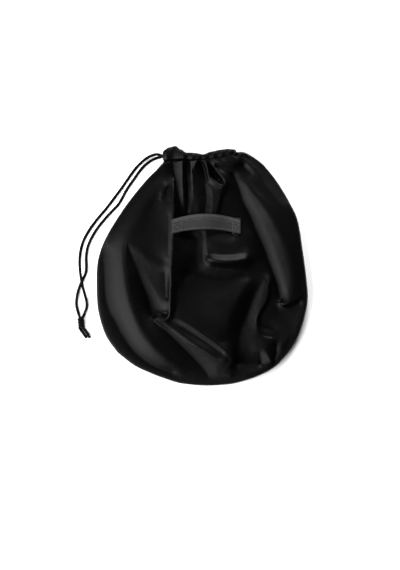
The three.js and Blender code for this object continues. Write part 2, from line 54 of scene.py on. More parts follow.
STRAP_LENGTH = 0.135
STRAP_WIDTH = 0.030
STRAP_THICKNESS = 0.003
STRAP_BOW = 0.010
STRAP_LIFT = 0.008
LEFT_TAB = 0.020
RIGHT_TAB = 0.016
KNOT_LENGTH = 0.022
KNOT_WIDTH = 0.014
TAIL_LENGTH = 0.025
FOLD_HEIGHT = 0.034

# Sizes that follow
HALF_WIDTH = BAG_WIDTH / 2
HALF_LENGTH = BAG_LENGTH / 2
CORD_RADIUS = CORD_DIAMETER / 2
CASING_HALF = CORD_RADIUS + TUNNEL_PLAY + CLOTH_THICKNESS
TURN_RADIUS = CASING_HALF + NECK_SLOT / 2
BACK_RUN_Z = CASING_HALF
NECK_Z = BACK_RUN_Z + TURN_RADIUS
FRONT_RUN_Z = NECK_Z + TURN_RADIUS
FLOOR_Z = CORD_RADIUS + TABLE_GAP

# The photo's scale, and the photo pixel over the bag's middle
PIXEL = 1.97 * MM
MIDDLE_PIXEL = (202.15, 265.9)
IMAGE_WIDTH = 400
IMAGE_HEIGHT = 570

# Route of the two cord ends over the table, (x, y) from where they come down to the knot
ROUTE_A = [
    (-0.089, 0.22), (-0.101, 0.2175), (-0.1135, 0.21), (-0.129, 0.1955), (-0.142, 0.1785), (-0.1585, 0.1545),
    (-0.173, 0.135), (-0.189, 0.114), (-0.2055, 0.0945), (-0.221, 0.074), (-0.2335, 0.052), (-0.24, 0.0305),
    (-0.2418, 0.011), (-0.2406, -0.008), (-0.2386, -0.0245), (-0.2358, -0.039), (-0.2318, -0.055),
    (-0.2282, -0.07), (-0.2282, -0.082), (-0.2316, -0.092), (-0.235, -0.0998),
]
ROUTE_B = [
    (-0.088, 0.2135), (-0.098, 0.2095), (-0.109, 0.2025), (-0.121, 0.1905), (-0.1335, 0.173),
    (-0.1485, 0.1515), (-0.1575, 0.135), (-0.1655, 0.1215), (-0.177, 0.1095), (-0.192, 0.093),
    (-0.2065, 0.075), (-0.2195, 0.0535), (-0.2265, 0.035), (-0.229, 0.016), (-0.2285, 0), (-0.2295, -0.013),
    (-0.2345, -0.024), (-0.24, -0.0355), (-0.2453, -0.0505), (-0.2482, -0.067), (-0.248, -0.08),
    (-0.2452, -0.091), (-0.2424, -0.0998),
]
CROSSING = (-0.2375, -0.0275)
CROSSING_TOP = 0.017
CROSSING_RAMP = 0.030
TAIL_TURN = 0.6

# Outline of the flat bag, (x as a share of half the width, y as a share of half the length)
LEFT_SIDE = [
    (-0.365, 0.868), (-0.437, 0.797), (-0.533, 0.714), (-0.688, 0.547), (-0.818, 0.380), (-0.926, 0.213),
    (-0.988, 0.046), (-1.000, -0.146), (-0.985, -0.371), (-0.914, -0.580), (-0.801, -0.724),
]
RIGHT_SIDE = [
    (0.322, 0.918), (0.352, 0.948), (0.402, 0.946), (0.468, 0.917), (0.544, 0.871), (0.601, 0.823),
    (0.715, 0.695), (0.828, 0.528), (0.905, 0.380), (0.953, 0.129), (0.990, -0.121), (1.000, -0.288),
    (0.963, -0.455), (0.895, -0.622), (0.809, -0.735),
]
BASE = [
    (-0.801, -0.724), (-0.649, -0.828), (-0.498, -0.893), (-0.346, -0.944), (-0.195, -0.982), (0.033, -1.000),
    (0.260, -0.988), (0.412, -0.957), (0.563, -0.908), (0.700, -0.836), (0.809, -0.735),
]
MOUTH_LINE = [
    (-0.365, 0.868), (-0.214, 0.881), (-0.053, 0.876), (0.108, 0.881), (0.232, 0.897), (0.322, 0.918),
]

# Height of the gathered hem above the mouth line, (share along the neck, share of the casing's depth)
CASING_TOP = [
    (0, 0.72), (0.08, 0.95), (0.17, 1.00), (0.25, 0.72), (0.33, 0.52), (0.45, 0.53), (0.57, 0.43),
    (0.69, 0.60), (0.80, 0.66), (0.90, 0.64), (1, 0.52),
]

# Pleats of the hem's front, (photo pixel across, how far the cloth stands out in mm)
HEM_PLEATS = [
    (163, 1.5), (166, 2.4), (173, 0), (184, 4.0), (187, 0), (193, 2.4), (195, 0.2), (197.5, 1.4), (200, 0),
    (202, 0), (205.5, 2.0), (208, 0), (214, 2.6), (217, 0.2), (222, 2.2), (225, 0.2), (231, 2.0), (235, 0),
    (238, 1.0), (241, 0), (244.5, 1.4), (247, 0),
]

# Folds of the front, each as its name, how softly it bends in mm, and the line that it runs along:
# (photo pixel across, photo pixel down, rise above the side seam in mm)
FOLDS = [
    ("upper left rim", 4, [
        (161, 174, 14), (150, 184, 17), (135, 202, 19), (122, 220.5, 20), (112, 238, 20.5),
        (108.5, 245, 19.5), (105.5, 250, 15), (103.5, 256, 12.5), (102.5, 262, 12)]),
    ("left rim", 4, [
        (102.5, 262, 12), (101.5, 283, 12), (103, 308, 11.5), (110.5, 332, 11.5), (121.5, 348, 11.5),
        (137, 360.5, 11.5), (153, 368.5, 11.5), (168, 374, 11.5), (184, 378.5, 11), (206, 380.5, 12),
        (230, 379, 14.5), (246, 375.5, 16), (261, 369.5, 15), (273.5, 361, 12.5), (284, 350, 11.5),
        (292.5, 337, 13.5), (299.5, 319, 15), (303, 303, 16), (302.5, 280, 16), (298.5, 250, 17),
        (293.5, 222, 17), (288.5, 206, 17)]),
    ("left slope foot", 3, [
        (104.5, 262, 12), (105, 282, 11.5), (106.5, 300, 10.5), (110.5, 313, 10.5), (116, 322, 10),
        (120, 330, 10), (125, 338, 10), (130, 346, 10), (137, 354, 10), (146.5, 361.5, 10), (158, 368, 10),
        (173, 373, 10)]),
    ("left crest", 9, [
        (160, 184, 19), (149, 197, 22), (139, 213, 24), (131, 229, 26), (126, 242, 27), (125, 262, 27),
        (127, 282, 27), (130, 298, 27), (135, 314, 27), (141, 330, 26), (147, 339, 25), (153, 347, 24),
        (161, 355, 22), (169, 362, 19.5), (181, 369, 15)]),
    ("upper left dip", 8, [(160, 196, 17.5), (151, 211, 19), (148, 226, 21), (147, 240, 23.3)]),
    ("left field", 10, [(163, 206, 20.5), (161, 222, 21.5), (160, 238, 23)]),
    ("left valley", 2, [
        (127.5, 244, 26), (130.5, 252, 23), (133.5, 260, 20.5), (136.5, 267, 19), (139.5, 276, 16.5),
        (142.5, 284, 14), (145, 291, 12), (148.2, 299, 10.5), (150.7, 308, 10.5), (152.5, 316, 13),
        (157.5, 323.5, 16.5), (165, 329.5, 16), (173.5, 337.5, 14.5), (181.5, 345.5, 13),
        (189.5, 353.5, 12), (197, 361.5, 11), (203.5, 369, 10.5), (208, 376, 11)]),
    ("left brow", 5, [
        (131, 243, 26.5), (140, 250.5, 24.3), (148, 258.5, 22.5), (157, 265, 21.7), (165, 270, 22)]),
    ("brow gully", 5, [(139, 240, 25), (149, 250.5, 22.5), (157, 257.5, 21.3), (165.3, 262, 21.5)]),
    ("facet crest", 3, [
        (148, 273, 19), (152, 282, 17.5), (156.5, 290, 17.2), (160.5, 298, 18.3), (165.5, 307, 21.5)]),
    ("facet gully", 2, [(165.5, 273, 20), (166, 282, 18.5), (166.5, 290, 18), (167, 298, 19.5)]),
    ("crease", 1.5, [
        (174, 181, 14.5), (173.7, 192, 20.5), (174, 212, 26), (173.3, 238, 27), (172, 260, 27.5),
        (171, 285, 27.5), (170.7, 300, 28), (170, 314, 28)]),
    ("crease side", 1, [(168.5, 216, 23), (168.5, 238, 23.7), (168.3, 256, 24)]),
    ("hollow", 4, [
        (190, 236, 9), (195.5, 238, 10.5), (196, 250, 12.5), (196.5, 260, 12), (198, 270, 10),
        (188, 272, 9.5), (185, 282, 14)]),
    ("crease foot", 3, [(178.5, 288, 17), (177.5, 300, 19), (175.5, 313, 21)]),
    ("pocket", 1.5, [(156.5, 312.5, 14), (163, 313, 14), (167, 313, 17)]),
    ("pocket edge", 1.2, [(169.5, 314, 28), (167.5, 318.3, 26), (160, 319.2, 25), (154, 318.5, 24)]),
    ("lower diagonal", 2.5, [
        (154, 318.5, 24), (164, 323.5, 22.5), (175, 330, 22), (185.5, 338, 23), (198, 346, 24),
        (209, 352.5, 23), (217, 357, 22), (225, 359, 22.5)]),
    ("low ridge", 2.5, [(217, 372, 15.5), (231, 375, 17)]),
    ("diagonal groove", 2.5, [
        (170, 320.5, 21.5), (183, 327, 20), (198, 336.5, 19.5), (211, 345.5, 19.5), (222, 353, 20)]),
    ("upper diagonal", 2, [
        (176, 317, 23), (190, 325.5, 24), (206, 336.5, 24), (220, 346, 23.5), (230, 355, 22.5)]),
    ("vee", 1.5, [
        (230, 355, 22.5), (232, 358, 21.5), (230.5, 363, 19.5), (224, 368, 17.5), (217, 372, 15.5)]),
    ("low hollow", 4, [(237, 363, 9), (243, 361, 8.5), (250, 361, 9), (255, 360, 9.5)]),
    ("centre field", 12, [(188, 290, 14.5), (190, 302, 18), (198, 316, 20.5), (212, 330, 20.5)]),
    ("centre field above", 12, [(202, 288, 13.5), (216, 290, 15), (230, 288, 15.5)]),
    ("centre field right", 10, [(208, 303, 20), (226, 302, 21.5), (222, 318, 20.5)]),
    ("middle edge", 8, [
        (247, 283, 18.5), (240, 294, 20.5), (233.5, 308, 21), (228, 323, 19.5), (224, 340, 17)]),
    ("middle valley", 4, [
        (264, 281, 13), (256, 291, 10.5), (251.5, 302, 9.5), (247, 314, 9), (242, 325, 9.5),
        (239, 337, 10), (238, 348, 11), (236, 357, 11.5)]),
    ("middle crest", 6, [
        (267, 279, 15), (265, 289, 15.5), (261.5, 300, 15.5), (256, 312, 14.5), (253, 322, 13.5)]),
    ("middle plateau", 9, [
        (247, 336, 12.5), (260, 337, 15.5), (270, 340, 16.5), (256, 348, 14.5), (265, 347, 15.5)]),
    ("crescent edge", 1.5, [
        (268, 283, 15.5), (267, 298, 16), (259, 312, 16), (256.5, 320, 15.5), (258, 330, 14.5),
        (265, 336, 13), (276, 337, 12.5)]),
    ("crescent", 2, [
        (271, 286, 11), (270, 299, 11.5), (262, 314, 11), (260, 320, 10.5), (263, 326, 9.5), (269, 328, 9),
        (276, 329, 10)]),
    ("right foot", 8, [
        (279, 307, 9), (284, 316, 11.5), (275, 320, 11.3), (290, 326, 12.5), (283, 338, 12.5)]),
    ("right valley", 2.5, [
        (233, 174, 12), (236.5, 183, 11), (240, 192, 10), (243, 202, 9.5), (247, 210, 8.5),
        (251, 218.5, 8), (254, 227, 7.5), (257.5, 235, 7), (261, 243, 7), (264.5, 251, 7), (267.5, 259, 7),
        (270.5, 267, 7.5), (273.5, 275, 7.5), (277, 284, 8), (279, 293, 8), (280.5, 300, 9.5)]),
    ("right crest side", 7, [
        (243, 186, 14.5), (247.5, 194, 16.5), (253, 202, 17.5), (259, 211, 17.5), (262.5, 218, 17),
        (266, 227, 17), (270, 235.5, 16.5), (273, 244, 16.5), (276, 252.5, 16.5), (278.5, 261, 16.5),
        (281, 270, 16.5), (283, 279, 16.5), (284, 289, 17)]),
    ("right crest", 7, [
        (240, 178, 15), (246, 186, 18), (253.5, 194, 20.5), (261, 203, 21.5), (268.5, 214, 22),
        (276, 226, 21.5), (282, 239, 21), (287, 252, 20.5), (289.5, 265, 20), (291.5, 277, 20),
        (291, 288, 20), (286, 299, 20)]),
    ("right tip", 1.2, [(281, 303, 18), (285, 304, 20), (291, 301.5, 20), (297, 298, 18.5), (302, 295, 17)]),
    ("tip foot", 3, [(282, 309, 12), (291, 306.5, 13), (299, 302.5, 13)]),
    ("shoulder crest", 2, [
        (241, 159, 18.5), (249.5, 165.5, 18.5), (257, 172.5, 18), (262, 181, 18), (267, 189, 18.5),
        (274, 199, 18.5), (281, 209, 18.5)]),
    ("shoulder foot", 3, [
        (249, 156.5, 12), (257.5, 162.5, 11), (264.5, 168.5, 10), (271.5, 176.5, 10), (278, 185.5, 11),
        (284, 195.5, 13), (288.5, 206, 17)]),
    ("shoulder dip", 4, [(253, 184, 17.5), (261, 194, 18.8)]),
    ("tongue", 3.5, [
        (207.5, 258.5, 24), (213, 260.5, 27.5), (224, 262, 28.5), (238, 261, 26.5), (247, 259, 22)]),
    ("tongue top", 2, [(209, 253, 19), (222, 254.5, 20.5), (236, 254, 19), (247, 251.5, 16)]),
    ("tongue foot", 3, [
        (203.5, 257, 13), (204.5, 262, 13), (206, 266.5, 13.5), (214, 267.5, 14), (226, 269, 14.5),
        (240, 270, 15), (250, 268, 13), (255, 262, 11)]),
    ("tongue floor", 4, [(203, 276, 10), (216, 277.5, 11), (230, 278.5, 12), (246, 275, 12)]),
    ("under strap", 6, [(213, 230, 15), (234, 230, 14), (238, 243, 16), (226, 244, 18.5), (212, 243, 19.5)]),
    ("stem", 1.5, [(206.5, 229, 14), (206.3, 238, 17), (206.5, 246, 18), (207, 252, 19), (209, 257, 20.5)]),
    ("stem foot", 2, [(202, 233, 12), (202.8, 242, 13.5), (203, 250, 14), (203.5, 257, 13)]),
    ("right start", 3, [
        (227, 192, 13), (228, 203, 12.5), (228, 213, 12), (231, 224, 12.5), (234, 236, 12.5)]),
    ("right slope", 12, [(248, 236, 12.5), (254, 250, 10.5), (259, 263, 9.5)]),
    ("first pleat", 2, [
        (182.5, 157, 22), (182.5, 172, 20.5), (183, 186, 18.5), (184, 200, 14.5), (185.5, 210, 10.5)]),
    ("crease gully", 2, [
        (173, 158, 9.5), (173.5, 168, 10), (176, 180, 11), (178, 192, 12.5), (180, 204, 12),
        (181.5, 213, 10.5), (183, 224, 10)]),
    ("first groove", 2, [(187, 162, 9), (187.5, 176, 9), (188, 196, 9), (187.5, 212, 9), (188, 226, 9)]),
    ("neck left lobe", 3, [(165, 161, 13), (165.5, 170, 13.5)]),
    ("second pleat", 1.5, [
        (191, 157, 20), (192, 171, 17), (193, 186, 15), (193.5, 197, 13.5), (190, 212, 11.5)]),
    ("second groove", 3, [(196, 176, 14), (197, 196, 13.5), (199, 212, 13)]),
    ("flap left edge", 1.5, [(192.8, 173, 15), (195, 165, 20), (199.5, 158, 24)]),
    ("flap edge", 1.5, [
        (199.5, 158, 22), (204, 161.5, 21), (207, 168, 20), (209.3, 178, 18.5), (216, 182.5, 19),
        (222.5, 187.5, 20)]),
    ("flap lip", 1.5, [
        (222.5, 187.5, 20), (225.2, 183.5, 20), (223, 178, 20), (218.5, 172.5, 20.5), (213.5, 166, 21)]),
    ("flap inside", 2, [(211, 168, 9), (215, 176.5, 7), (221, 182.5, 9)]),
    ("arch inside", 2, [(200, 163, 13), (203, 167, 11), (205, 174, 10), (206, 181, 10)]),
    ("strip crest", 1.5, [
        (209, 184, 13.5), (211.5, 189, 16.5), (212.8, 196, 17.8), (212.3, 206, 18), (211, 217, 17.5)]),
    ("strip left", 2, [(205, 186, 10.5), (206.2, 196, 10.5), (205.8, 208, 10.5), (204.5, 217, 11)]),
    ("strip edge", 1.5, [(220, 194, 18), (219.5, 200, 18.5), (217.5, 207, 18.5), (215.5, 216, 18)]),
    ("strip foot", 2, [(223.5, 197, 13.5), (222, 206, 13), (220, 216, 13)]),
    ("shoulder line", 1.5, [(213.5, 160, 21), (219.5, 162.5, 23), (227, 164.5, 23), (234, 166, 22)]),
    ("shoulder groove", 2, [(216, 168, 16), (226, 171, 16), (234, 173, 15)]),
    ("shoulder lobe", 3, [(224, 158, 20), (232, 159, 22), (238, 163.5, 22)]),
    ("neck right hollow", 2, [(243, 166, 14.5), (251, 176, 15.5)]),
    ("low right", 6, [(285, 336, 15), (280, 350, 13)]),
    ("low valley", 2.5, [(276, 341, 13), (276.5, 350, 10), (274.5, 361, 8.5)]),
    ("low spike", 1.5, [(264, 349, 15), (268.5, 356, 15.5), (271.5, 363, 15.5)]),
    ("spike foot", 2, [(259, 352, 12.5), (260, 358, 10.5), (261, 364, 9.5)]),
    ("drop ridge", 3, [(166, 186, 19.5), (163, 192, 21), (160, 199, 21)]),
    ("drop groove", 3, [(170, 187, 17), (167.5, 195, 18.5), (166, 203, 20)]),
]


# Helpers
LINE_SAMPLES = 24
END_SHARE = 0.35
TINY = 1e-12


def clamp(t):
    return np.clip(t, 0, 1)


def ease(t):
    t = clamp(t)
    return t * t * (3 - 2 * t)


def mix(a, b, t):
    return a + (b - a) * t


def from_photo(across, down):
    return (across - MIDDLE_PIXEL[0]) * PIXEL, (MIDDLE_PIXEL[1] - down) * PIXEL


def smooth_line(points, steps):
    """Evenly spaced points on a smooth line through the given ones."""
    through = np.asarray(points, float)
    through = np.vstack([through[:1], through, through[-1:]])
    t = np.linspace(0, 1, LINE_SAMPLES, endpoint=False)[:, None]
    runs = []
    for a, b, c, d in zip(through[:-3], through[1:-2], through[2:-1], through[3:]):
        leaving = (c - a) / 2
        coming = (d - b) / 2
        cubic = (2 * b - 2 * c + leaving + coming) * t**3
        square = (3 * c - 3 * b - 2 * leaving - coming) * t**2
        runs.append(cubic + square + leaving * t + b)
    line = np.vstack([*runs, through[-1:]])
    return even_line(line, steps)


def line_length(line):
    return np.linalg.norm(np.diff(line, axis=0), axis=1).sum()


def even_line(line, steps, measured=None):
    """The line at evenly spaced places, by the distance over its first measured columns or over all."""
    gone = np.linalg.norm(np.diff(line[:, :measured], axis=0), axis=1)
    gone = np.concatenate([[0], np.cumsum(gone)])
    even = np.linspace(0, gone[-1], steps + 1)
    return np.column_stack([np.interp(even, gone, line[:, k]) for k in range(line.shape[1])])


def at_share(line, share):
    """Points of an even line at the given shares of its length."""
    places = np.linspace(0, 1, len(line))
    return np.stack([np.interp(share, places, line[:, k]) for k in range(line.shape[1])], axis=-1)


def unit(vectors):
    return vectors / np.maximum(np.linalg.norm(vectors, axis=-1, keepdims=True), TINY)


def drawn_in(apart, rounding):
    """How much of its size a cord or strap keeps at a distance from its rounded end."""
    return np.sqrt(clamp(END_SHARE + (1 - END_SHARE) * apart / rounding))


def tube_faces(rings, around, first=0, inward=False):
    """The faces of a tube between rings of points that follow each other."""
    faces = []
    for s in range(rings - 1):
        for k in range(around):
            a = first + s * around + k
            b = first + s * around + (k + 1) % around
            faces.append((a, a + around, b + around, b) if inward else (a, b, b + around, a + around))
    return faces


def grid_faces(rows, columns, first=0):
    wide = columns + 1
    corners = [first + j * wide + i for j in range(rows) for i in range(columns)]
    return [(a, a + wide, a + wide + 1, a + 1) for a in corners]


def make_piece(name, points, faces, material, uv=None, shade_by_standing=None):
    """A closed mesh as a piece that rides on the bag. Smooth, with its place in its mesh."""
    mesh = bpy.data.meshes.new(name)
    mesh.from_pydata(np.asarray(points).tolist(), [], faces)
    mesh.update()
    mesh.polygons.foreach_set("use_smooth", [True] * len(mesh.polygons))
    if uv is not None:
        corners = np.zeros(len(mesh.loops), dtype=np.int64)
        mesh.loops.foreach_get("vertex_index", corners)
        layer = mesh.uv_layers.new(name="cloth")
        layer.data.foreach_set("uv", np.asarray(uv, np.float32)[corners].ravel())
    # The share that sets the painted shade in the cloth's gloss
    if shade_by_standing is not None:
        attribute = mesh.attributes.new(name="shade_by_standing", type="FLOAT", domain="POINT")
        attribute.data.foreach_set("value", np.asarray(shade_by_standing, np.float32).ravel())
    mesh.materials.append(material)
    piece = bpy.data.objects.new(name, mesh)
    bpy.context.scene.collection.objects.link(piece)
    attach(piece, "root")
    return piece


# The camera looks straight down on the bag, as the photo does
CAMERA_HEIGHT = 3.0
CLOTH_LEVEL = 0.011
SENSOR = 36.0


def place_camera():
    data = bpy.data.cameras.new("camera")
    data.sensor_fit = "AUTO"
    data.sensor_width = SENSOR
    view_height = IMAGE_HEIGHT * PIXEL
    data.lens = SENSOR * (CAMERA_HEIGHT - CLOTH_LEVEL) / view_height
    camera = bpy.data.objects.new("camera", data)
    x, y = from_photo(IMAGE_WIDTH / 2, IMAGE_HEIGHT / 2)
    camera.location = (x, y, CAMERA_HEIGHT)
    bpy.context.scene.collection.objects.link(camera)
    bpy.context.scene.camera = camera


place_camera()


# Materials: flat coordinates are the piece's own in metres, solid ones are the object's
RAMP_SPAN = (0.3, 0.7)
WAVE_RADIANS = 20.0
CLOTH_DARK = (0.0003, 0.0003, 0.0003)
CLOTH_LIGHT = (0.0006, 0.0006, 0.0006)
CLOTH_SPECULAR = 0.069
# Painted shade in the cloth's gloss: the share it keeps in its lowest places, and the standing share from
# which it is full
SHADED_VALLEY_GLOSS = 0.15
FULL_GLOSS_FROM = 0.55
CORD_DARK = (0.0004, 0.0004, 0.0004)
CORD_LIGHT = (0.001, 0.001, 0.001)
WEBBING_DARK = (0.0092, 0.0092, 0.0094)
WEBBING_LIGHT = (0.0135, 0.0135, 0.0138)
# Painted light on the strap's upper band: where it starts, as a share of the width, and how much lighter its
# colour is
LIT_BAND_FROM = 0.70
LIT_BAND_BRIGHTENING = 1.7
THREAD_DARK = (0.020, 0.020, 0.021)
THREAD_LIGHT = (0.034, 0.034, 0.035)


class Look:
    """A material while it is made, with its shader and the nodes that feed it."""

    def __init__(self, name):
        self.material = bpy.data.materials.new(name)
        self.material.use_nodes = True
        self.nodes = self.material.node_tree.nodes
        self.links = self.material.node_tree.links
        self.shader = self.nodes["Principled BSDF"]
        coordinates = self.nodes.new("ShaderNodeTexCoord")
        self.flat = coordinates.outputs["UV"]
        self.solid = coordinates.outputs["Object"]

    def fill(self, node, inputs):
        """Each named input takes a value, or a link from another node's output."""
        for name, value in inputs.items():
            if isinstance(value, bpy.types.NodeSocket):
                self.links.new(value, node.inputs[name])
            else:
                node.inputs[name].default_value = value

    def node(self, kind, inputs, operation=None):
        node = self.nodes.new(kind)
        if operation is not None:
            node.operation = operation
        self.fill(node, inputs)
        return node

    def noise(self, scale, detail=3.0):
        inputs = {"Vector": self.solid, "Scale": scale, "Detail": detail}
        return self.node("ShaderNodeTexNoise", inputs).outputs["Fac"]

    def spread(self, value, low, high, full_at=1.0):
        """The value, from 0 to where it is full, spread between two numbers."""
        inputs = {"Value": value, "From Max": full_at, "To Min": low, "To Max": high}
        return self.node("ShaderNodeMapRange", inputs).outputs["Result"]

    def colour_between(self, value, dark, light):
        ramp = self.node("ShaderNodeValToRGB", {"Fac": value})
        for element, position, colour in zip(ramp.color_ramp.elements, RAMP_SPAN, (dark, light)):
            element.position = position
            element.color = (*colour, 1)
        return ramp.outputs["Color"]

    def bump(self, height, distance, strength, under=None):
        inputs = {"Height": height, "Distance": distance, "Strength": strength}
        if under is not None:
            inputs["Normal"] = under
        return self.node("ShaderNodeBump", inputs).outputs["Normal"]

    def threads(self, pitch, direction):
        """Evenly spaced threads across one direction, pitch in metres."""
        inputs = {"Vector": self.flat, "Scale": 2 * math.pi / (WAVE_RADIANS * pitch), "Distortion": 0.0}
        wave = self.node("ShaderNodeTexWave", inputs)
        wave.wave_type = "BANDS"
        wave.bands_direction = direction
        return wave.outputs["Fac"]

    def weave(self, pitch):
        """Threads crossing over and under each other."""
        crossing = {0: self.threads(pitch, "X"), 1: self.threads(pitch, "Y")}
        return self.node("ShaderNodeMath", crossing, "MULTIPLY").outputs["Value"]


def bag_cloth_material():
    look = Look("bag_cloth")
    shade_by_standing = look.node("ShaderNodeAttribute", {})
    shade_by_standing.attribute_name = "shade_by_standing"
    # Painted shade: the cloth's gloss falls where it lies below the cloth round it
    shaded_valley_gloss = SHADED_VALLEY_GLOSS * CLOTH_SPECULAR
    rumple = look.bump(look.noise(scale=55), distance=0.0010, strength=0.5)
    look.fill(look.shader, {
        "Base Color": look.colour_between(look.noise(scale=38, detail=4), CLOTH_DARK, CLOTH_LIGHT),
        "Roughness": look.spread(look.noise(scale=900, detail=2), low=0.36, high=0.42),
        "Specular IOR Level": look.spread(shade_by_standing.outputs["Fac"], shaded_valley_gloss, CLOTH_SPECULAR, FULL_GLOSS_FROM),
        "Sheen Weight": 0.002,
        "Sheen Roughness": 0.35,
        "Normal": look.bump(look.weave(pitch=0.0007), distance=0.0001, strength=0.35, under=rumple),
    })
    return look.material


def drawcord_material():
    look = Look("drawcord")
    fibres = look.threads(pitch=0.0006, direction="DIAGONAL")
    look.fill(look.shader, {
        "Base Color": look.colour_between(look.noise(scale=400), CORD_DARK, CORD_LIGHT),
        "Roughness": 0.72,
        "Specular IOR Level": 0.045,
        "Normal": look.bump(fibres, distance=0.0002, strength=0.6),
    })
    return look.material


def webbing_material():
    """Woven tape, with painted light on the band along its folded-over upper edge."""
    look = Look("handle_webbing")
    yarn = look.colour_between(look.noise(scale=160, detail=4), WEBBING_DARK, WEBBING_LIGHT)
    over = look.node("ShaderNodeSeparateXYZ", {"Vector": look.flat}).outputs["Y"]
    # Painted light: the band along the folded-over top edge is lighter
    in_lit_band = look.node("ShaderNodeMath", {0: over, 1: LIT_BAND_FROM * STRAP_WIDTH}, "GREATER_THAN")
    painted_light = look.spread(in_lit_band.outputs["Value"], 1.0, LIT_BAND_BRIGHTENING)
    yarn_with_painted_light = look.node("ShaderNodeVectorMath", {"Vector": yarn, "Scale": painted_light}, "SCALE")
    ribs = look.bump(look.weave(pitch=0.0011), distance=0.0003, strength=0.7)
    look.fill(look.shader, {
        "Base Color": yarn_with_painted_light.outputs["Vector"],
        "Roughness": 0.78,
        "Specular IOR Level": 0.15,
        "Sheen Weight": 0.02,
        "Normal": look.bump(look.noise(scale=1400, detail=2), distance=0.0002, strength=0.3, under=ribs),
    })
    return look.material


def thread_material():
    look = Look("sewing_thread")
    look.fill(look.shader, {
        "Base Color": look.colour_between(look.noise(scale=700), THREAD_DARK, THREAD_LIGHT),
        "Roughness": 0.6,
    })
    return look.material


bag_cloth = bag_cloth_material()
drawcord = drawcord_material()
handle_webbing = webbing_material()
sewing_thread = thread_material()


# The bag's outline and neck
EDGE_STEPS = 400
OUTLINE_STEP = 3


def edge_line(shares):
    return smooth_line([(x * HALF_WIDTH, y * HALF_LENGTH) for x, y in shares], EDGE_STEPS)


left_edge = edge_line(LEFT_SIDE)
right_edge = edge_line(RIGHT_SIDE)
base_edge = edge_line(BASE)
mouth_edge = edge_line(MOUTH_LINE)
outline = np.vstack([left_edge, base_edge[1:], right_edge[::-1][1:]])

NECK_LEFT = mouth_edge[0][0]
NECK_RIGHT = mouth_edge[-1][0] - CASING_HALF - TOUCH_GAP
TURN_X = NECK_RIGHT - TURN_RADIUS
NECK_WIDTH = NECK_RIGHT - NECK_LEFT


def plan_points(u, v):
    """Points of the flat sheet between its four edges, u to the right, v from the mouth to the base."""
    u = u[..., None]
    v = v[..., None]
    along = at_share(mouth_edge, u[..., 0]) * (1 - v) + at_share(base_edge, u[..., 0]) * v
    across = at_share(left_edge, v[..., 0]) * (1 - u) + at_share(right_edge, v[..., 0]) * u
    top = mouth_edge[0] * (1 - u) + mouth_edge[-1] * u
    low = base_edge[0] * (1 - u) + base_edge[-1] * u
    return along + across - top * (1 - v) - low * v


def outline_distance(points):
    """How far each point lies from the nearest point of the side and base edges."""
    starts = outline[:-1:OUTLINE_STEP]
    ends = np.vstack([outline[OUTLINE_STEP::OUTLINE_STEP], outline[-1:]])[:len(starts)]
    runs = ends - starts
    squares = (runs**2).sum(axis=1)
    flat = points.reshape(-1, 2)
    nearest = np.full(len(flat), np.inf)
    for start, run, square in zip(starts, runs, squares):
        reach = flat - start
        share = clamp(reach @ run / max(square, TINY))
        nearest = np.minimum(nearest, np.linalg.norm(reach - share[:, None] * run, axis=1))
    return nearest.reshape(points.shape[:-1])


def neck_open(x):
    corner_left = clamp((NECK_LEFT + TURN_RADIUS - x) / TURN_RADIUS)
    corner_right = clamp((x - TURN_X) / (mouth_edge[-1][0] - TURN_X))
    return np.sqrt(np.maximum(0, 1 - np.maximum(corner_left, corner_right)**2))


def mouth_y(x):
    return np.interp(x, mouth_edge[:, 0], mouth_edge[:, 1])


def casing_rise(share):
    places = np.array([place for place, _ in CASING_TOP])
    rises = np.array([rise for _, rise in CASING_TOP])
    here = np.clip(np.searchsorted(places, share, side="right") - 1, 0, len(places) - 2)
    t = ease((share - places[here]) / (places[here + 1] - places[here]))
    return CASING_DEPTH * mix(rises[here], rises[here + 1], t)


# Cloth stretched between the fold lines, on an even grid
CELL = 1.5 * MM
GRID_MARGIN = 8 * MM
GRID_LEVELS = 4
SWEEPS = 120
FIRST_SWEEPS = 360
HOLD = 40.0
SOFTNESS = [0, 1.0 * MM, 2.0 * MM, 4.0 * MM, 8.0 * MM, 16.0 * MM]
SOFT_SHARE = 0.75
HELD_STEP = 0.4
BLUR_REACH = 3
LAST_CELL = 1.001


def grid_shape(cell):
    rows = int((BAG_LENGTH + 2 * GRID_MARGIN) / cell) + 2
    columns = int((BAG_WIDTH + 2 * GRID_MARGIN) / cell) + 2
    return rows, columns


def held_heights(cell):
    """The folds' pull on each grid point: how firmly it is held, at what height and how softly it bends."""
    shape = grid_shape(cell)
    firm = np.zeros(shape)
    height = np.zeros(shape)
    soft = np.zeros(shape)
    for _, softness, line in FOLDS:
        points = np.array([(*from_photo(across, down), rise * MM) for across, down, rise in line])
        steps = max(2, int(np.ceil(line_length(points) / (cell * HELD_STEP))))
        for x, y, rise in smooth_line(points, steps):
            column = (x + HALF_WIDTH + GRID_MARGIN) / cell
            row = (y + HALF_LENGTH + GRID_MARGIN) / cell
            i = min(shape[0] - 2, max(0, int(row)))
            j = min(shape[1] - 2, max(0, int(column)))
            for a, share_a in ((i, 1 - row + i), (i + 1, row - i)):
                for b, share_b in ((j, 1 - column + j), (j + 1, column - j)):
                    share = share_a * share_b
                    firm[a, b] += share
                    height[a, b] += share * rise
                    soft[a, b] += share * softness * MM
    return firm, height, soft


def neighbour_mean(field):
    padded = np.pad(field, 1, mode="edge")
    return (padded[:-2, 1:-1] + padded[2:, 1:-1] + padded[1:-1, :-2] + padded[1:-1, 2:]) / 4


def resized(field, shape):
    rows = np.linspace(0, field.shape[0] - 1, shape[0])
    columns = np.linspace(0, field.shape[1] - 1, shape[1])
    return sampled(field, rows[:, None], columns[None, :])


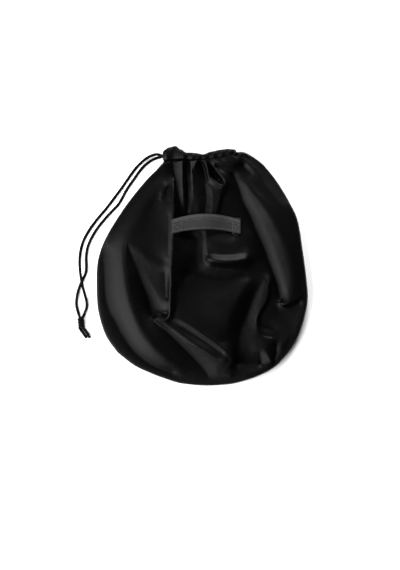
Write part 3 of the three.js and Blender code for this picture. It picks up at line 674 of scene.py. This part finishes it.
def sampled(field, rows, columns):
    rows = np.clip(rows, 0, field.shape[0] - LAST_CELL)
    columns = np.clip(columns, 0, field.shape[1] - LAST_CELL)
    i = rows.astype(int)
    j = columns.astype(int)
    s = rows - i
    t = columns - j
    low = field[i, j] * (1 - t) + field[i, j + 1] * t
    high = field[i + 1, j] * (1 - t) + field[i + 1, j + 1] * t
    return low * (1 - s) + high * s


def blurred(field, radius):
    """The field smoothed over a radius given in cells."""
    reach = max(1, int(np.ceil(radius * BLUR_REACH)))
    weights = np.exp(-0.5 * (np.arange(-reach, reach + 1) / radius)**2)
    weights /= weights.sum()
    padded = np.pad(field, reach, mode="edge")
    rows = sum(w * padded[k:k + field.shape[0], :] for k, w in enumerate(weights))
    return sum(w * rows[:, k:k + field.shape[1]] for k, w in enumerate(weights))


def stretch_folds():
    height = None
    soft = None
    for level in range(GRID_LEVELS - 1, -1, -1):
        cell = CELL * 2**level
        firm, held, softness = held_heights(cell)
        if height is None:
            height = np.full(grid_shape(cell), held.sum() / firm.sum())
            soft = np.full(grid_shape(cell), softness.sum() / firm.sum())
        else:
            height = resized(height, grid_shape(cell))
            soft = resized(soft, grid_shape(cell))
        for _ in range(FIRST_SWEEPS if level == GRID_LEVELS - 1 else SWEEPS):
            height = (neighbour_mean(height) + HOLD * held) / (1 + HOLD * firm)
            soft = (neighbour_mean(soft) + HOLD * softness) / (1 + HOLD * firm)
    return soften(height, soft * SOFT_SHARE)


def soften(height, soft):
    """Each place blurred by its own softness."""
    copies = [height] + [blurred(height, radius / CELL) for radius in SOFTNESS[1:]]
    result = copies[-1].copy()
    for k in range(len(SOFTNESS) - 1):
        t = (soft - SOFTNESS[k]) / (SOFTNESS[k + 1] - SOFTNESS[k])
        between = (t >= 0) & (t <= 1)
        result[between] = mix(copies[k], copies[k + 1], t)[between]
    return result


fold_field = stretch_folds()

# How far each place stands above or lies below the cloth round it, which sets the painted shade: the cloth's
# gloss is lowered in its low places
LEVEL = 0.5
BROAD_RADIUS = 24 * MM
STANDING_RANGE = 12 * MM
cloth_round_it = blurred(fold_field, BROAD_RADIUS / CELL)
shade_by_standing_field = clamp(LEVEL + (fold_field - cloth_round_it) / STANDING_RANGE)


def at_place(field, x, y):
    rows = (y + HALF_LENGTH + GRID_MARGIN) / CELL
    columns = (x + HALF_WIDTH + GRID_MARGIN) / CELL
    return sampled(field, rows, columns)


# The strap's two sewn ends, as (middle in x, reach each way, seat height above the seam)
STRAP_X = 0.038 * HALF_WIDTH
STRAP_Y = 0.323 * HALF_LENGTH
LEFT_SEAT = 0.80 * FOLD_HEIGHT
RIGHT_SEAT = 0.46 * FOLD_HEIGHT
STRAP_ENDS = [
    (STRAP_X - (STRAP_LENGTH - LEFT_TAB) / 2, LEFT_TAB / 2, LEFT_SEAT),
    (STRAP_X + (STRAP_LENGTH - RIGHT_TAB) / 2, RIGHT_TAB / 2, RIGHT_SEAT),
]
SEAT_EASE = 0.006
SEAT_MARGIN = -0.004


def seated(x, y, z):
    """The cloth lies flat under the strap's sewn ends."""
    for middle, reach, rise in STRAP_ENDS:
        apart_x = np.abs(x - middle) - reach - SEAT_MARGIN
        apart_y = np.abs(y - STRAP_Y) - STRAP_WIDTH / 2 - SEAT_MARGIN
        grip = 1 - ease(np.maximum(apart_x, apart_y) / SEAT_EASE)
        z = mix(z, SEAM_HEIGHT + rise, grip)
    return z


SIDE_EASE = 0.16
FRONT_MOUTH_EASE = 0.009
BACK_MOUTH_EASE = 0.034


def side_seam(v):
    return mix(NECK_Z, SEAM_HEIGHT, ease(v / SIDE_EASE))


def past_rim(plan, reach):
    """0 at the sheet's edge, rising in a quarter round to 1 at the reach."""
    inward = clamp(outline_distance(plan) / reach)
    return np.sqrt(np.maximum(0, 1 - (1 - inward)**2))


def sheet_surface(u, v, side):
    """Outer face of the front sheet, side 1, or of the back one, side -1, which lies flat on the table."""
    plan = plan_points(u, v)
    x, y = plan[..., 0], plan[..., 1]
    seam = side_seam(v) + side * TOUCH_GAP / 2
    if side > 0:
        inside = seated(x, y, seam + at_place(fold_field, x, y) * past_rim(plan, RIM_REACH))
        mouth_ease = FRONT_MOUTH_EASE
    else:
        inside = seam * (1 - past_rim(plan, CURL_REACH))
        mouth_ease = BACK_MOUTH_EASE
    at_mouth = NECK_Z + side * (TOUCH_GAP / 2 + (TURN_RADIUS + CLOTH_THICKNESS / 2) * neck_open(x))
    z = mix(at_mouth, inside, ease(v * BAG_LENGTH / mouth_ease))
    on_edge = (u == 0) | (u == 1) | (v == 1)
    z = np.where(on_edge, seam, z)
    y = np.where(v == 0, y - 2 * TOUCH_GAP, y)
    return np.stack([x, y, z], axis=-1)


RIM_CROWDING = 0.35
INNER_STEP = 4


def crowded(count):
    t = np.linspace(0, 1, count + 1)
    return t - RIM_CROWDING * np.sin(2 * np.pi * t) / (2 * np.pi)


def grid_normals(points):
    """Unit normals of a grid whose rows run down and columns run right, looking up."""
    east = np.gradient(points, axis=1)
    down = np.gradient(points, axis=0)
    return unit(np.cross(east, -down))


def ring_of(rows, columns):
    """The grid points round a sheet's edge, anticlockwise from the mouth's left corner."""
    left = [(j, 0) for j in range(rows)]
    base = [(rows, i) for i in range(columns)]
    right = [(j, columns) for j in range(rows, 0, -1)]
    mouth = [(0, i) for i in range(columns, 0, -1)]
    return left + base + right + mouth


def cloth_sheet(name, side, columns, rows):
    """A sheet of cloth with a constant wall. Its inner face has fewer faces than its outer one."""
    u, v = np.meshgrid(crowded(columns), crowded(rows))
    outer = sheet_surface(u, v, side)
    normals = grid_normals(outer) * side
    normals[0, :, 1] = 0
    ring = ring_of(rows, columns)
    rim = np.array([outer[place] for place in ring])
    runs = np.roll(rim, -1, axis=0) - np.roll(rim, 1, axis=0)
    outward = unit(np.column_stack([runs[:, 1], -runs[:, 0], np.zeros(len(runs))]))
    for place, direction in zip(ring, outward):
        if place[0] > 0:
            normals[place] = direction
    normals[0, 0] = (-1, 0, 0)
    normals[0, -1] = (1, 0, 0)
    inner = (outer - unit(normals) * CLOTH_THICKNESS)[::INNER_STEP, ::INNER_STEP]
    inner_rows = rows // INNER_STEP
    inner_columns = columns // INNER_STEP
    first_inner = u.size
    faces = grid_faces(rows, columns)
    faces += [face[::-1] for face in grid_faces(inner_rows, inner_columns, first_inner)]
    outer_ring = [j * (columns + 1) + i for j, i in ring]
    inner_ring = [first_inner + j * (inner_columns + 1) + i for j, i in ring_of(inner_rows, inner_columns)]
    half = INNER_STEP // 2
    for m, start in enumerate(inner_ring):
        end = inner_ring[(m + 1) % len(inner_ring)]
        run = [outer_ring[(m * INNER_STEP + k) % len(outer_ring)] for k in range(INNER_STEP + 1)]
        for k in range(INNER_STEP):
            faces.append((run[k + 1], run[k], start if k < half else end))
        faces.append((run[half], start, end))
    if side < 0:
        faces = [face[::-1] for face in faces]
    points = np.vstack([outer.reshape(-1, 3), inner.reshape(-1, 3)])
    flat = np.stack([u * BAG_WIDTH, v * BAG_LENGTH], axis=-1)
    uv = np.vstack([flat.reshape(-1, 2), flat[::INNER_STEP, ::INNER_STEP].reshape(-1, 2)])
    # Share that sets the painted shade in the gloss: level on the back sheet, from the folds on the front
    shade_by_standing = np.full(len(points), LEVEL)
    if side > 0:
        shade_by_standing = at_place(shade_by_standing_field, points[:, 0], points[:, 1])
    return make_piece(name, points, faces, bag_cloth, uv, shade_by_standing)


# The casing: its middle line in x and z is two straight runs joined by a half turn at the right
GATHER_PITCH = 3.6 * MM
GATHER_STEPS = 8
GATHER_DEPTH = 1.3 * MM
GATHER_SHARPNESS = 1.4
FINE_GATHERS = 0.3 * MM
PLEAT_ROUNDING = 1.2
PLEAT_SAMPLES = 5
FLUTE_SHARPNESS = 0.5
RUFFLE_DEPTH = 0.8 * MM
RUFFLE_SHARPNESS = 4
# Painted shade in the hem: less gloss where its pleats lie in
HEM_RELIEF = 3.0 * MM
HEM_STANDING = 0.2
CASING_SQUARING = 0.7
END_TURN = 0.7
RUN_POINTS = 60
TURN_POINTS = 24
END_POINTS = 8
CASING_SIDES = 40

# Slow waves along the hem, (size, length in metres, start)
GATHER_SHIFTS = [(1.4, 0.021, 0.0), (0.9, 0.0083, 1.1)]
GATHER_STRENGTH = (0.25, 0.013, 0.6)


def casing_turn(middle_x, angles):
    """Places of the casing's line round a turn, (x, z, outward x, outward z), angles from straight down."""
    return [(middle_x + TURN_RADIUS * np.sin(angle), NECK_Z - TURN_RADIUS * np.cos(angle),
             np.sin(angle), -np.cos(angle)) for angle in angles]


def casing_line():
    """Middle line, (x, z, outward x, outward z), evenly spaced, and how far along it each place is."""
    back = [(x, BACK_RUN_Z, 0, -1) for x in np.linspace(NECK_LEFT, TURN_X, RUN_POINTS)]
    turn = casing_turn(TURN_X, np.linspace(0, np.pi, TURN_POINTS)[1:-1])
    front = [(x, FRONT_RUN_Z, 0, 1) for x in np.linspace(TURN_X, NECK_LEFT + TURN_RADIUS, RUN_POINTS)]
    end = casing_turn(NECK_LEFT + TURN_RADIUS, np.pi + np.linspace(0, END_TURN, END_POINTS)[1:])
    line = np.array(back + turn + front + end)
    length = line_length(line[:, :2])
    steps = int(length / (GATHER_PITCH / GATHER_STEPS))
    return even_line(line, steps, measured=2), np.linspace(0, length, steps + 1)


def casing_ends(x):
    foot = mouth_y(x)
    share = clamp((x - NECK_LEFT) / NECK_WIDTH)
    return foot, foot + casing_rise(share)


def hem_pleats(x):
    """How far the front of the hem stands out at each place across."""
    across = x / PIXEL + MIDDLE_PIXEL[0]
    places, heights = np.array(HEM_PLEATS).T
    shifts = np.linspace(-1, 1, PLEAT_SAMPLES) * PLEAT_ROUNDING
    return sum(np.interp(across + shift, places, heights) for shift in shifts) / len(shifts) * MM


def slow_wave(distance, size, length, start):
    return size * np.sin(distance / length + start)


def gathers(distance):
    """Fine pleats along the casing, uneven as pulled cloth is."""
    wander = sum(slow_wave(distance, *shift) for shift in GATHER_SHIFTS)
    wave = 0.5 + 0.5 * np.cos(2 * np.pi * distance / GATHER_PITCH + wander)
    strength = 1 - GATHER_STRENGTH[0] + slow_wave(distance, *GATHER_STRENGTH)
    return wave**GATHER_SHARPNESS * strength


def squared(values):
    return np.sign(values) * np.abs(values)**CASING_SQUARING


def drawcord_casing():
    """The gathered hem, a tube with an outer and an inner wall that is open at both ends."""
    line, along = casing_line()
    foot, head = casing_ends(line[:, 0])
    pleats = gathers(along)
    angles = np.linspace(0, 2 * np.pi, CASING_SIDES, endpoint=False)
    facing = squared(np.cos(angles))[None, :]
    rising = squared(np.sin(angles))[None, :]
    in_front = clamp(line[:, 3])
    behind = clamp(-line[:, 3])
    stands_out = mix(GATHER_DEPTH * pleats, hem_pleats(line[:, 0]) + FINE_GATHERS * pleats, in_front)
    stands_out = stands_out * (1 - behind)
    fluting = stands_out[:, None] * np.maximum(0, facing)**FLUTE_SHARPNESS
    along_top = np.maximum(0, np.sin(angles))[None, :]**RUFFLE_SHARPNESS
    ruffle = (RUFFLE_DEPTH * (pleats - 0.5))[:, None] * along_top
    layers = []
    for wall, outside in ((0, 1), (CLOTH_THICKNESS, 0)):
        half_height = (head - foot) / 2 - wall
        across = (CASING_HALF - wall) * facing + fluting * outside
        x = line[:, :1] + line[:, 2:3] * across
        y = ((head + foot) / 2)[:, None] + half_height[:, None] * rising + ruffle * outside
        z = line[:, 1:2] + line[:, 3:4] * across
        layers.append(np.stack([x, y, z], axis=-1).reshape(-1, 3))
    inner = len(layers[0])
    last = inner - CASING_SIDES
    faces = tube_faces(len(line), CASING_SIDES) + tube_faces(len(line), CASING_SIDES, inner, inward=True)
    for k in range(CASING_SIDES):
        after = (k + 1) % CASING_SIDES
        faces.append((k, inner + k, inner + after, after))
        faces.append((last + k, last + after, inner + last + after, inner + last + k))
    around = np.linspace(0, 4 * CASING_HALF, CASING_SIDES, endpoint=False)
    flat = np.stack(np.meshgrid(along, around, indexing="ij"), axis=-1).reshape(-1, 2)
    # Painted shade: gloss lowered between the pleats
    shade_by_standing = np.repeat(clamp(HEM_STANDING + stands_out / HEM_RELIEF), CASING_SIDES)
    return make_piece("gathered_hem", np.vstack(layers), faces, bag_cloth,
                      np.vstack([flat, flat]), np.tile(shade_by_standing, 2))


# Cords
STRANDS = 3
TWIST_PITCH = 0.017
STRAND_DEPTH = 0.24
CORD_SIDES = 21
CORD_STEP = 0.0011
CORD_ROUNDING = 0.35 * CORD_RADIUS
CORD_START_UP = (0.3, 0.2, 1.0)
EXIT_FRONT = 1.8 * MM
EXIT_BACK = 0.6 * MM
EXIT_REACH = 0.060
FIRST_FALL = 0.25


def rope(line, turned=0.0):
    """A twisted cord along a line, as points, faces and its own flat coordinates."""
    steps = max(4, int(line_length(line) / CORD_STEP))
    path = even_line(line, steps)
    tangents = unit(np.gradient(path, axis=0))
    sides = [unit(np.cross(tangents[0], CORD_START_UP))]
    for tangent in tangents[1:]:
        sides.append(unit(sides[-1] - tangent * (sides[-1] @ tangent)))
    sides = np.array(sides)
    ups = np.cross(tangents, sides)
    gone = np.linspace(0, line_length(path), steps + 1)
    angles = np.linspace(0, 2 * np.pi, CORD_SIDES, endpoint=False)
    phase = 2 * np.pi * gone / TWIST_PITCH + turned
    lobes = np.abs(np.cos(STRANDS / 2 * (angles[None, :] - phase[:, None])))
    reach = CORD_RADIUS * (1 - STRAND_DEPTH + STRAND_DEPTH * np.sqrt(lobes))
    reach = reach * drawn_in(np.minimum(gone, gone[-1] - gone), CORD_ROUNDING)[:, None]
    ring = path[:, None, :] + reach[..., None] * (
        np.cos(angles)[None, :, None] * sides[:, None, :] + np.sin(angles)[None, :, None] * ups[:, None, :])
    points = np.vstack([ring.reshape(-1, 3), path[:1], path[-1:]])
    faces = tube_faces(steps + 1, CORD_SIDES)
    last = steps * CORD_SIDES
    first_cap = last + CORD_SIDES
    for k in range(CORD_SIDES):
        after = (k + 1) % CORD_SIDES
        faces.append((first_cap, after, k))
        faces.append((first_cap + 1, last + k, last + after))
    around = np.linspace(0, 2 * np.pi * CORD_RADIUS, CORD_SIDES, endpoint=False)
    flat = np.stack(np.meshgrid(around, gone, indexing="xy"), axis=-1).reshape(-1, 2)
    uv = np.vstack([flat, [(0, 0)], [(0, gone[-1])]])
    return points, faces, uv


def joined(parts):
    points = []
    faces = []
    uvs = []
    start = 0
    for part_points, part_faces, part_uv in parts:
        points.append(part_points)
        faces.extend(tuple(index + start for index in face) for face in part_faces)
        uvs.append(part_uv)
        start += len(part_points)
    return np.vstack(points), faces, np.vstack(uvs)


def hidden_cord_line():
    """The cord inside the casing, which comes out of its two ends near the top edge."""
    line, along = casing_line()
    foot, head = casing_ends(line[:, 0])
    from_back = 1 - ease(along / EXIT_REACH)
    from_front = 1 - ease((along[-1] - along) / EXIT_REACH)
    lift = EXIT_FRONT * from_front + EXIT_BACK * from_back
    return np.column_stack([line[:, 0], (foot + head) / 2 + lift, line[:, 1]])


def beyond(point, previous, distance):
    return point + unit(point - previous) * distance


def hump(x, y):
    apart = math.hypot(x - CROSSING[0], y - CROSSING[1]) - CROSSING_TOP
    return FLOOR_Z + (CORD_DIAMETER + 2 * TOUCH_GAP) * (1 - ease(apart / CROSSING_RAMP))


def free_cord_line(route, start, previous, crosses):
    exit_point = beyond(start, previous, TOUCH_GAP)
    away = beyond(start, previous, CORD_DIAMETER)
    laid = []
    for i, (x, y) in enumerate(route):
        fall = mix(FLOOR_Z, away[2], FIRST_FALL) if i == 0 else FLOOR_Z
        laid.append((x, y, max(fall, hump(x, y)) if crosses else fall))
    points = [exit_point, away, *laid]
    line = smooth_line(points, int(line_length(np.array(points)) / CORD_STEP))
    line[:, 2] = np.maximum(line[:, 2], FLOOR_Z)
    return line


hidden_line = hidden_cord_line()
line_a = free_cord_line(ROUTE_A, hidden_line[-1], hidden_line[-2], True)
line_b = free_cord_line(ROUTE_B, hidden_line[0], hidden_line[1], False)

# The knot's inside: its sizes, shares of its length and counts
KNOT_GAP = 0.2 * MM
CORE_APART = 0.7 * MM
CORE_DROP = 1.0 * MM
CORE_SPAN = (0.3, 0.75)
TAIL_GAP = 0.4 * MM
TAIL_BEND = (0.8 * MM, 0.4 * MM)
CORE_STEPS = 60
WRAPS = 3
WRAP_POINTS = 120
WRAP_START = 0.5 * MM
WRAP_SQUASH = 0.05
WRAP_LEAN = 0.12


def knot_parts():
    """Both cord ends, wrapped by three turns, with two tails."""
    wrap_radius = (KNOT_WIDTH - CORD_DIAMETER) / 2
    middle_z = KNOT_WIDTH / 2 + KNOT_GAP
    top_x = (line_a[-1][0] + line_b[-1][0]) / 2
    top_y = (line_a[-1][1] + line_b[-1][1]) / 2
    parts = []
    for line, side in ((line_a, 1), (line_b, -1)):
        core = [(top_x + side * CORE_APART, top_y - share * KNOT_LENGTH, middle_z - CORE_DROP)
                for share in CORE_SPAN]
        apart = side * (CORD_RADIUS + TOUCH_GAP)
        foot = np.array([top_x + apart, top_y - KNOT_LENGTH, FLOOR_Z + TAIL_GAP])
        tail = foot + TAIL_LENGTH * np.array([math.sin(TAIL_TURN), -math.cos(TAIL_TURN), 0])
        bend = (foot + tail) / 2 + np.array([TAIL_BEND[0] * side, TAIL_BEND[1], 0])
        through = [line[-1], beyond(line[-1], line[-2], MM), *core, foot, bend, tail]
        parts.append(rope(smooth_line(through, CORE_STEPS), turned=side))
    turns = np.linspace(0, 2 * np.pi * WRAPS, WRAP_POINTS)
    down = np.linspace(CORD_RADIUS + WRAP_START, KNOT_LENGTH - CORD_RADIUS, WRAP_POINTS)
    lean = WRAP_LEAN * (down - KNOT_LENGTH / 2)
    wrap = np.column_stack([
        top_x + wrap_radius * (1 + WRAP_SQUASH) * np.cos(turns) + lean,
        top_y - down,
        middle_z + wrap_radius * (1 - WRAP_SQUASH) * np.sin(turns),
    ])
    parts.append(rope(wrap))
    return parts


def make_cords():
    points, faces, uv = joined(knot_parts())
    knot = make_piece("cord_end_knot", points, faces, drawcord, uv)
    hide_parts("cord_knot")
    for name, line, node in (("drawcord_a", line_a, "cord_run_a"), ("drawcord_b", line_b, "cord_run_b")):
        points, faces, uv = rope(line)
        piece = make_piece(name, points, faces, drawcord, uv)
        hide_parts(node)
    points, faces, uv = rope(hidden_line)
    hidden = make_piece("drawcord_in_hem", points, faces, drawcord, uv)
    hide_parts("cord_in_casing")


make_cords()

# Faces of the sheets, (columns, rows)
FRONT_CELLS = (288, 312)
BACK_CELLS = (120, 132)

front = cloth_sheet("front_cloth", 1, *FRONT_CELLS)
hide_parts("front_panel")
back = cloth_sheet("back_cloth", -1, *BACK_CELLS)
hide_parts("back_panel")
hem = drawcord_casing()
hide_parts("drawcord_casing")


# The carrying strap
STRAP_STEPS = 110
SECTION_STEPS = 72
STRAP_NARROWING = 0.09
STRAP_LOFT = 0.92
STRAP_ROUNDING = 1.2 * MM

# Its cross section, (share of the width from the lower edge, share of the thickness): the under face, then
# the upper face with its top edge folded over
STRAP_SECTION = [
    (0.000, 0.50), (0.004, 0.20), (0.020, 0.02), (0.100, 0.00), (0.300, 0.00), (0.500, 0.00), (0.700, 0.00),
    (0.900, 0.00), (0.980, 0.02), (0.996, 0.25), (1.000, 0.50), (0.994, 0.72), (0.975, 0.88), (0.930, 1.00),
    (0.860, 1.10), (0.780, 1.15), (0.725, 1.10), (0.705, 0.92), (0.695, 0.72), (0.680, 0.70), (0.640, 0.76),
    (0.560, 0.82), (0.450, 0.85), (0.330, 0.84), (0.220, 0.79), (0.150, 0.72), (0.125, 0.70), (0.095, 0.84),
    (0.055, 0.96), (0.020, 0.88), (0.005, 0.70),
]
UPPER_FACE = 10


def strap_middle(share):
    """Middle of the strap's under face at a share of its length, and how wide the strap lies there."""
    x = STRAP_X + (share - 0.5) * STRAP_LENGTH
    left, right = STRAP_ENDS
    span_from = left[0] + left[1]
    span_to = right[0] - right[1]
    between = clamp((x - span_from) / (span_to - span_from))
    off_middle = (2 * share - 1)**2
    seat = mix(left[2], right[2], ease(between)) + SEAM_HEIGHT + TOUCH_GAP
    z = seat + STRAP_LIFT * np.sin(np.pi * between)**2
    return x, STRAP_Y + STRAP_BOW * (1 - off_middle), z, STRAP_WIDTH * (1 - STRAP_NARROWING * off_middle)


def strap_height(level, puff=1.0):
    return (0.5 + (level - 0.5) * puff) * STRAP_THICKNESS * STRAP_LOFT


def strap_body():
    section = smooth_line([*STRAP_SECTION, STRAP_SECTION[0]], SECTION_STEPS)[:-1]
    around = len(section)
    rings = []
    for s in range(STRAP_STEPS + 1):
        share = s / STRAP_STEPS
        x, y, z, width = strap_middle(share)
        puff = drawn_in(min(share, 1 - share) * STRAP_LENGTH, STRAP_ROUNDING)
        rings.append(np.column_stack([
            np.full(around, x),
            y + (section[:, 0] - 0.5) * width,
            z + strap_height(section[:, 1], puff),
        ]))
    last = STRAP_STEPS * around
    faces = tube_faces(STRAP_STEPS + 1, around)
    faces.append(tuple(range(around))[::-1])
    faces.append(tuple(last + k for k in range(around)))
    along = np.repeat(np.linspace(0, STRAP_LENGTH, STRAP_STEPS + 1), around)
    over = np.tile(section[:, 0] * STRAP_WIDTH, STRAP_STEPS + 1)
    return make_piece("carrying_strap", np.vstack(rings), faces, handle_webbing,
                      np.column_stack([along, over]))


strap = strap_body()
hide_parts("handle_strap")


# Stitches, one modelled and the others copied from it
STITCH_LENGTH = 3.0 * MM
STITCH_PITCH = 4.0 * MM
STITCH_RADIUS = 0.45 * MM
STITCH_SINK = 0.25 * MM
STITCH_SIDES = 8
STITCH_BAR = 0.6
STITCH_TIP = 0.4
END_FACES_FROM = 0.45
LOOK_AHEAD = 0.01

# The seams: how far the boxes at the ends lie inward, and heights on the strap as shares of its width
BOX_INSET = 3.0 * MM
LOW_SEAM = 0.11
BOX_TOP = 0.64
FOLD_SEAM = 0.66
TOP_SEAM = 0.88


def model_stitch():
    """A short bar of thread along x, its ends drawn in and down into the cloth."""
    bar = STITCH_LENGTH * STITCH_BAR
    end = (STITCH_LENGTH - bar) / 2
    bpy.ops.object.select_all(action="DESELECT")
    bpy.ops.mesh.primitive_cylinder_add(vertices=STITCH_SIDES, radius=STITCH_RADIUS, depth=bar,
                                        rotation=(0, math.pi / 2, 0))
    stitch = bpy.context.object
    bpy.ops.object.transform_apply(location=True, rotation=True, scale=True)
    for side in (-1, 1):
        for polygon in stitch.data.polygons:
            polygon.select = polygon.center.x * side > bar * END_FACES_FROM
        bpy.ops.object.mode_set(mode="EDIT")
        bpy.ops.mesh.select_mode(type="FACE")
        bpy.ops.mesh.extrude_region_move(TRANSFORM_OT_translate={"value": (side * end, 0, -STITCH_RADIUS)})
        bpy.ops.transform.resize(value=(1, STITCH_TIP, STITCH_TIP),
                                 center_override=(side * STITCH_LENGTH / 2, 0, -STITCH_RADIUS))
        bpy.ops.mesh.select_all(action="DESELECT")
        bpy.ops.object.mode_set(mode="OBJECT")
    points = np.array([tuple(vertex.co) for vertex in stitch.data.vertices])
    faces = [tuple(polygon.vertices) for polygon in stitch.data.polygons]
    bpy.data.objects.remove(stitch)
    return points, faces


def stitched_run(start, end):
    """Places and turns of the stitches from one spot on the strap to another, in metres along and over."""
    start = np.array(start)
    run = np.array(end) - start
    count = max(1, round(math.hypot(*run) / STITCH_PITCH))
    return [(start + run * (k + 0.5) / count, math.atan2(run[1], run[0])) for k in range(count)]


def seam_runs():
    """The seams along the strap, then a box with a cross at each end, in metres along and over."""
    right_tab = STRAP_LENGTH - RIGHT_TAB
    right_inset = STRAP_LENGTH - BOX_INSET
    seams = [
        (FOLD_SEAM, LEFT_TAB, right_tab),
        (LOW_SEAM, LEFT_TAB, right_tab),
        (TOP_SEAM, BOX_INSET, right_inset),
    ]
    runs = [((near, share * STRAP_WIDTH), (far, share * STRAP_WIDTH)) for share, near, far in seams]
    top = BOX_TOP * STRAP_WIDTH
    for near, far in ((BOX_INSET, LEFT_TAB), (right_tab, right_inset)):
        corners = [(near, BOX_INSET), (far, BOX_INSET), (far, top), (near, top)]
        runs += [(corners[a], corners[b]) for a, b in ((0, 1), (1, 2), (2, 3), (3, 0), (0, 2), (1, 3))]
    return runs


def strap_stitches():
    upper = np.array(sorted(STRAP_SECTION[UPPER_FACE:]))
    shape, shape_faces = model_stitch()
    points = []
    faces = []
    for (along, over), turned in [stitch for run in seam_runs() for stitch in stitched_run(*run)]:
        share = along / STRAP_LENGTH
        across = over / STRAP_WIDTH
        x, y, z, width = strap_middle(share)
        level = strap_height(np.interp(across, upper[:, 0], upper[:, 1]))
        slant = 0.0
        rise = 0.0
        if along < STRAP_LENGTH - RIGHT_TAB:
            ahead = strap_middle(share + LOOK_AHEAD)
            slant = (ahead[1] - y) / (ahead[0] - x)
            rise = (ahead[2] - z) / (ahead[0] - x)
        cos, sin = math.cos(turned), math.sin(turned)
        ahead_x = shape[:, 0] * cos - shape[:, 1] * sin
        up_y = shape[:, 0] * sin + shape[:, 1] * cos + slant * ahead_x
        start = len(points) * len(shape)
        points.append(np.column_stack([
            x + ahead_x,
            y + (across - 0.5) * width + up_y,
            z + level + STITCH_RADIUS - STITCH_SINK + shape[:, 2] + rise * ahead_x,
        ]))
        faces.extend(tuple(index + start for index in face) for face in shape_faces)
    return make_piece("strap_stitches", np.vstack(points), faces, sewing_thread)


strap_stitches()


# Floor and light
FLOOR_SIZE = 12
FLOOR_DROP = 0.0005
FLOOR_COLOUR = (0.86, 0.86, 0.86, 1)


def make_floor():
    bpy.ops.object.select_all(action="DESELECT")
    bpy.ops.mesh.primitive_plane_add(size=FLOOR_SIZE, location=(0, 0, -FLOOR_DROP))
    floor = bpy.context.object
    floor.name = "table"
    look = Look("table")
    look.fill(look.shader, {"Base Color": FLOOR_COLOUR, "Roughness": 0.9, "Specular IOR Level": 0.1})
    floor.data.materials.append(look.material)


# Softboxes, each as its name, the way it stands from the bag, how far, its two sizes in metres and its power
SOFTBOXES = [
    ("left_softbox", (-0.74, -0.34, 0.62), 1.6, 1.7, 1.7, 100),
    ("far_softbox", (0.20, 0.80, 0.57), 1.7, 0.9, 0.7, 52),
    ("overhead_softbox", (-0.06, 0.04, 1.00), 3.5, 0.7, 0.7, 4),
]
STUDIO_LEVEL = 0.005


def make_lights():
    for name, toward, distance, width, height, power in SOFTBOXES:
        data = bpy.data.lights.new(name, "AREA")
        data.shape = "RECTANGLE"
        data.size = width
        data.size_y = height
        data.energy = power
        light = bpy.data.objects.new(name, data)
        direction = Vector(toward).normalized()
        light.location = direction * distance
        light.rotation_mode = "QUATERNION"
        light.rotation_quaternion = direction.to_track_quat("Z", "Y")
        bpy.context.scene.collection.objects.link(light)
    world = bpy.data.worlds.new("studio")
    world.use_nodes = True
    world.node_tree.nodes["Background"].inputs["Color"].default_value = (1, 1, 1, 1)
    world.node_tree.nodes["Background"].inputs["Strength"].default_value = STUDIO_LEVEL
    bpy.context.scene.world = world
    bpy.context.scene.view_settings.view_transform = "Standard"


make_floor()
make_lights()
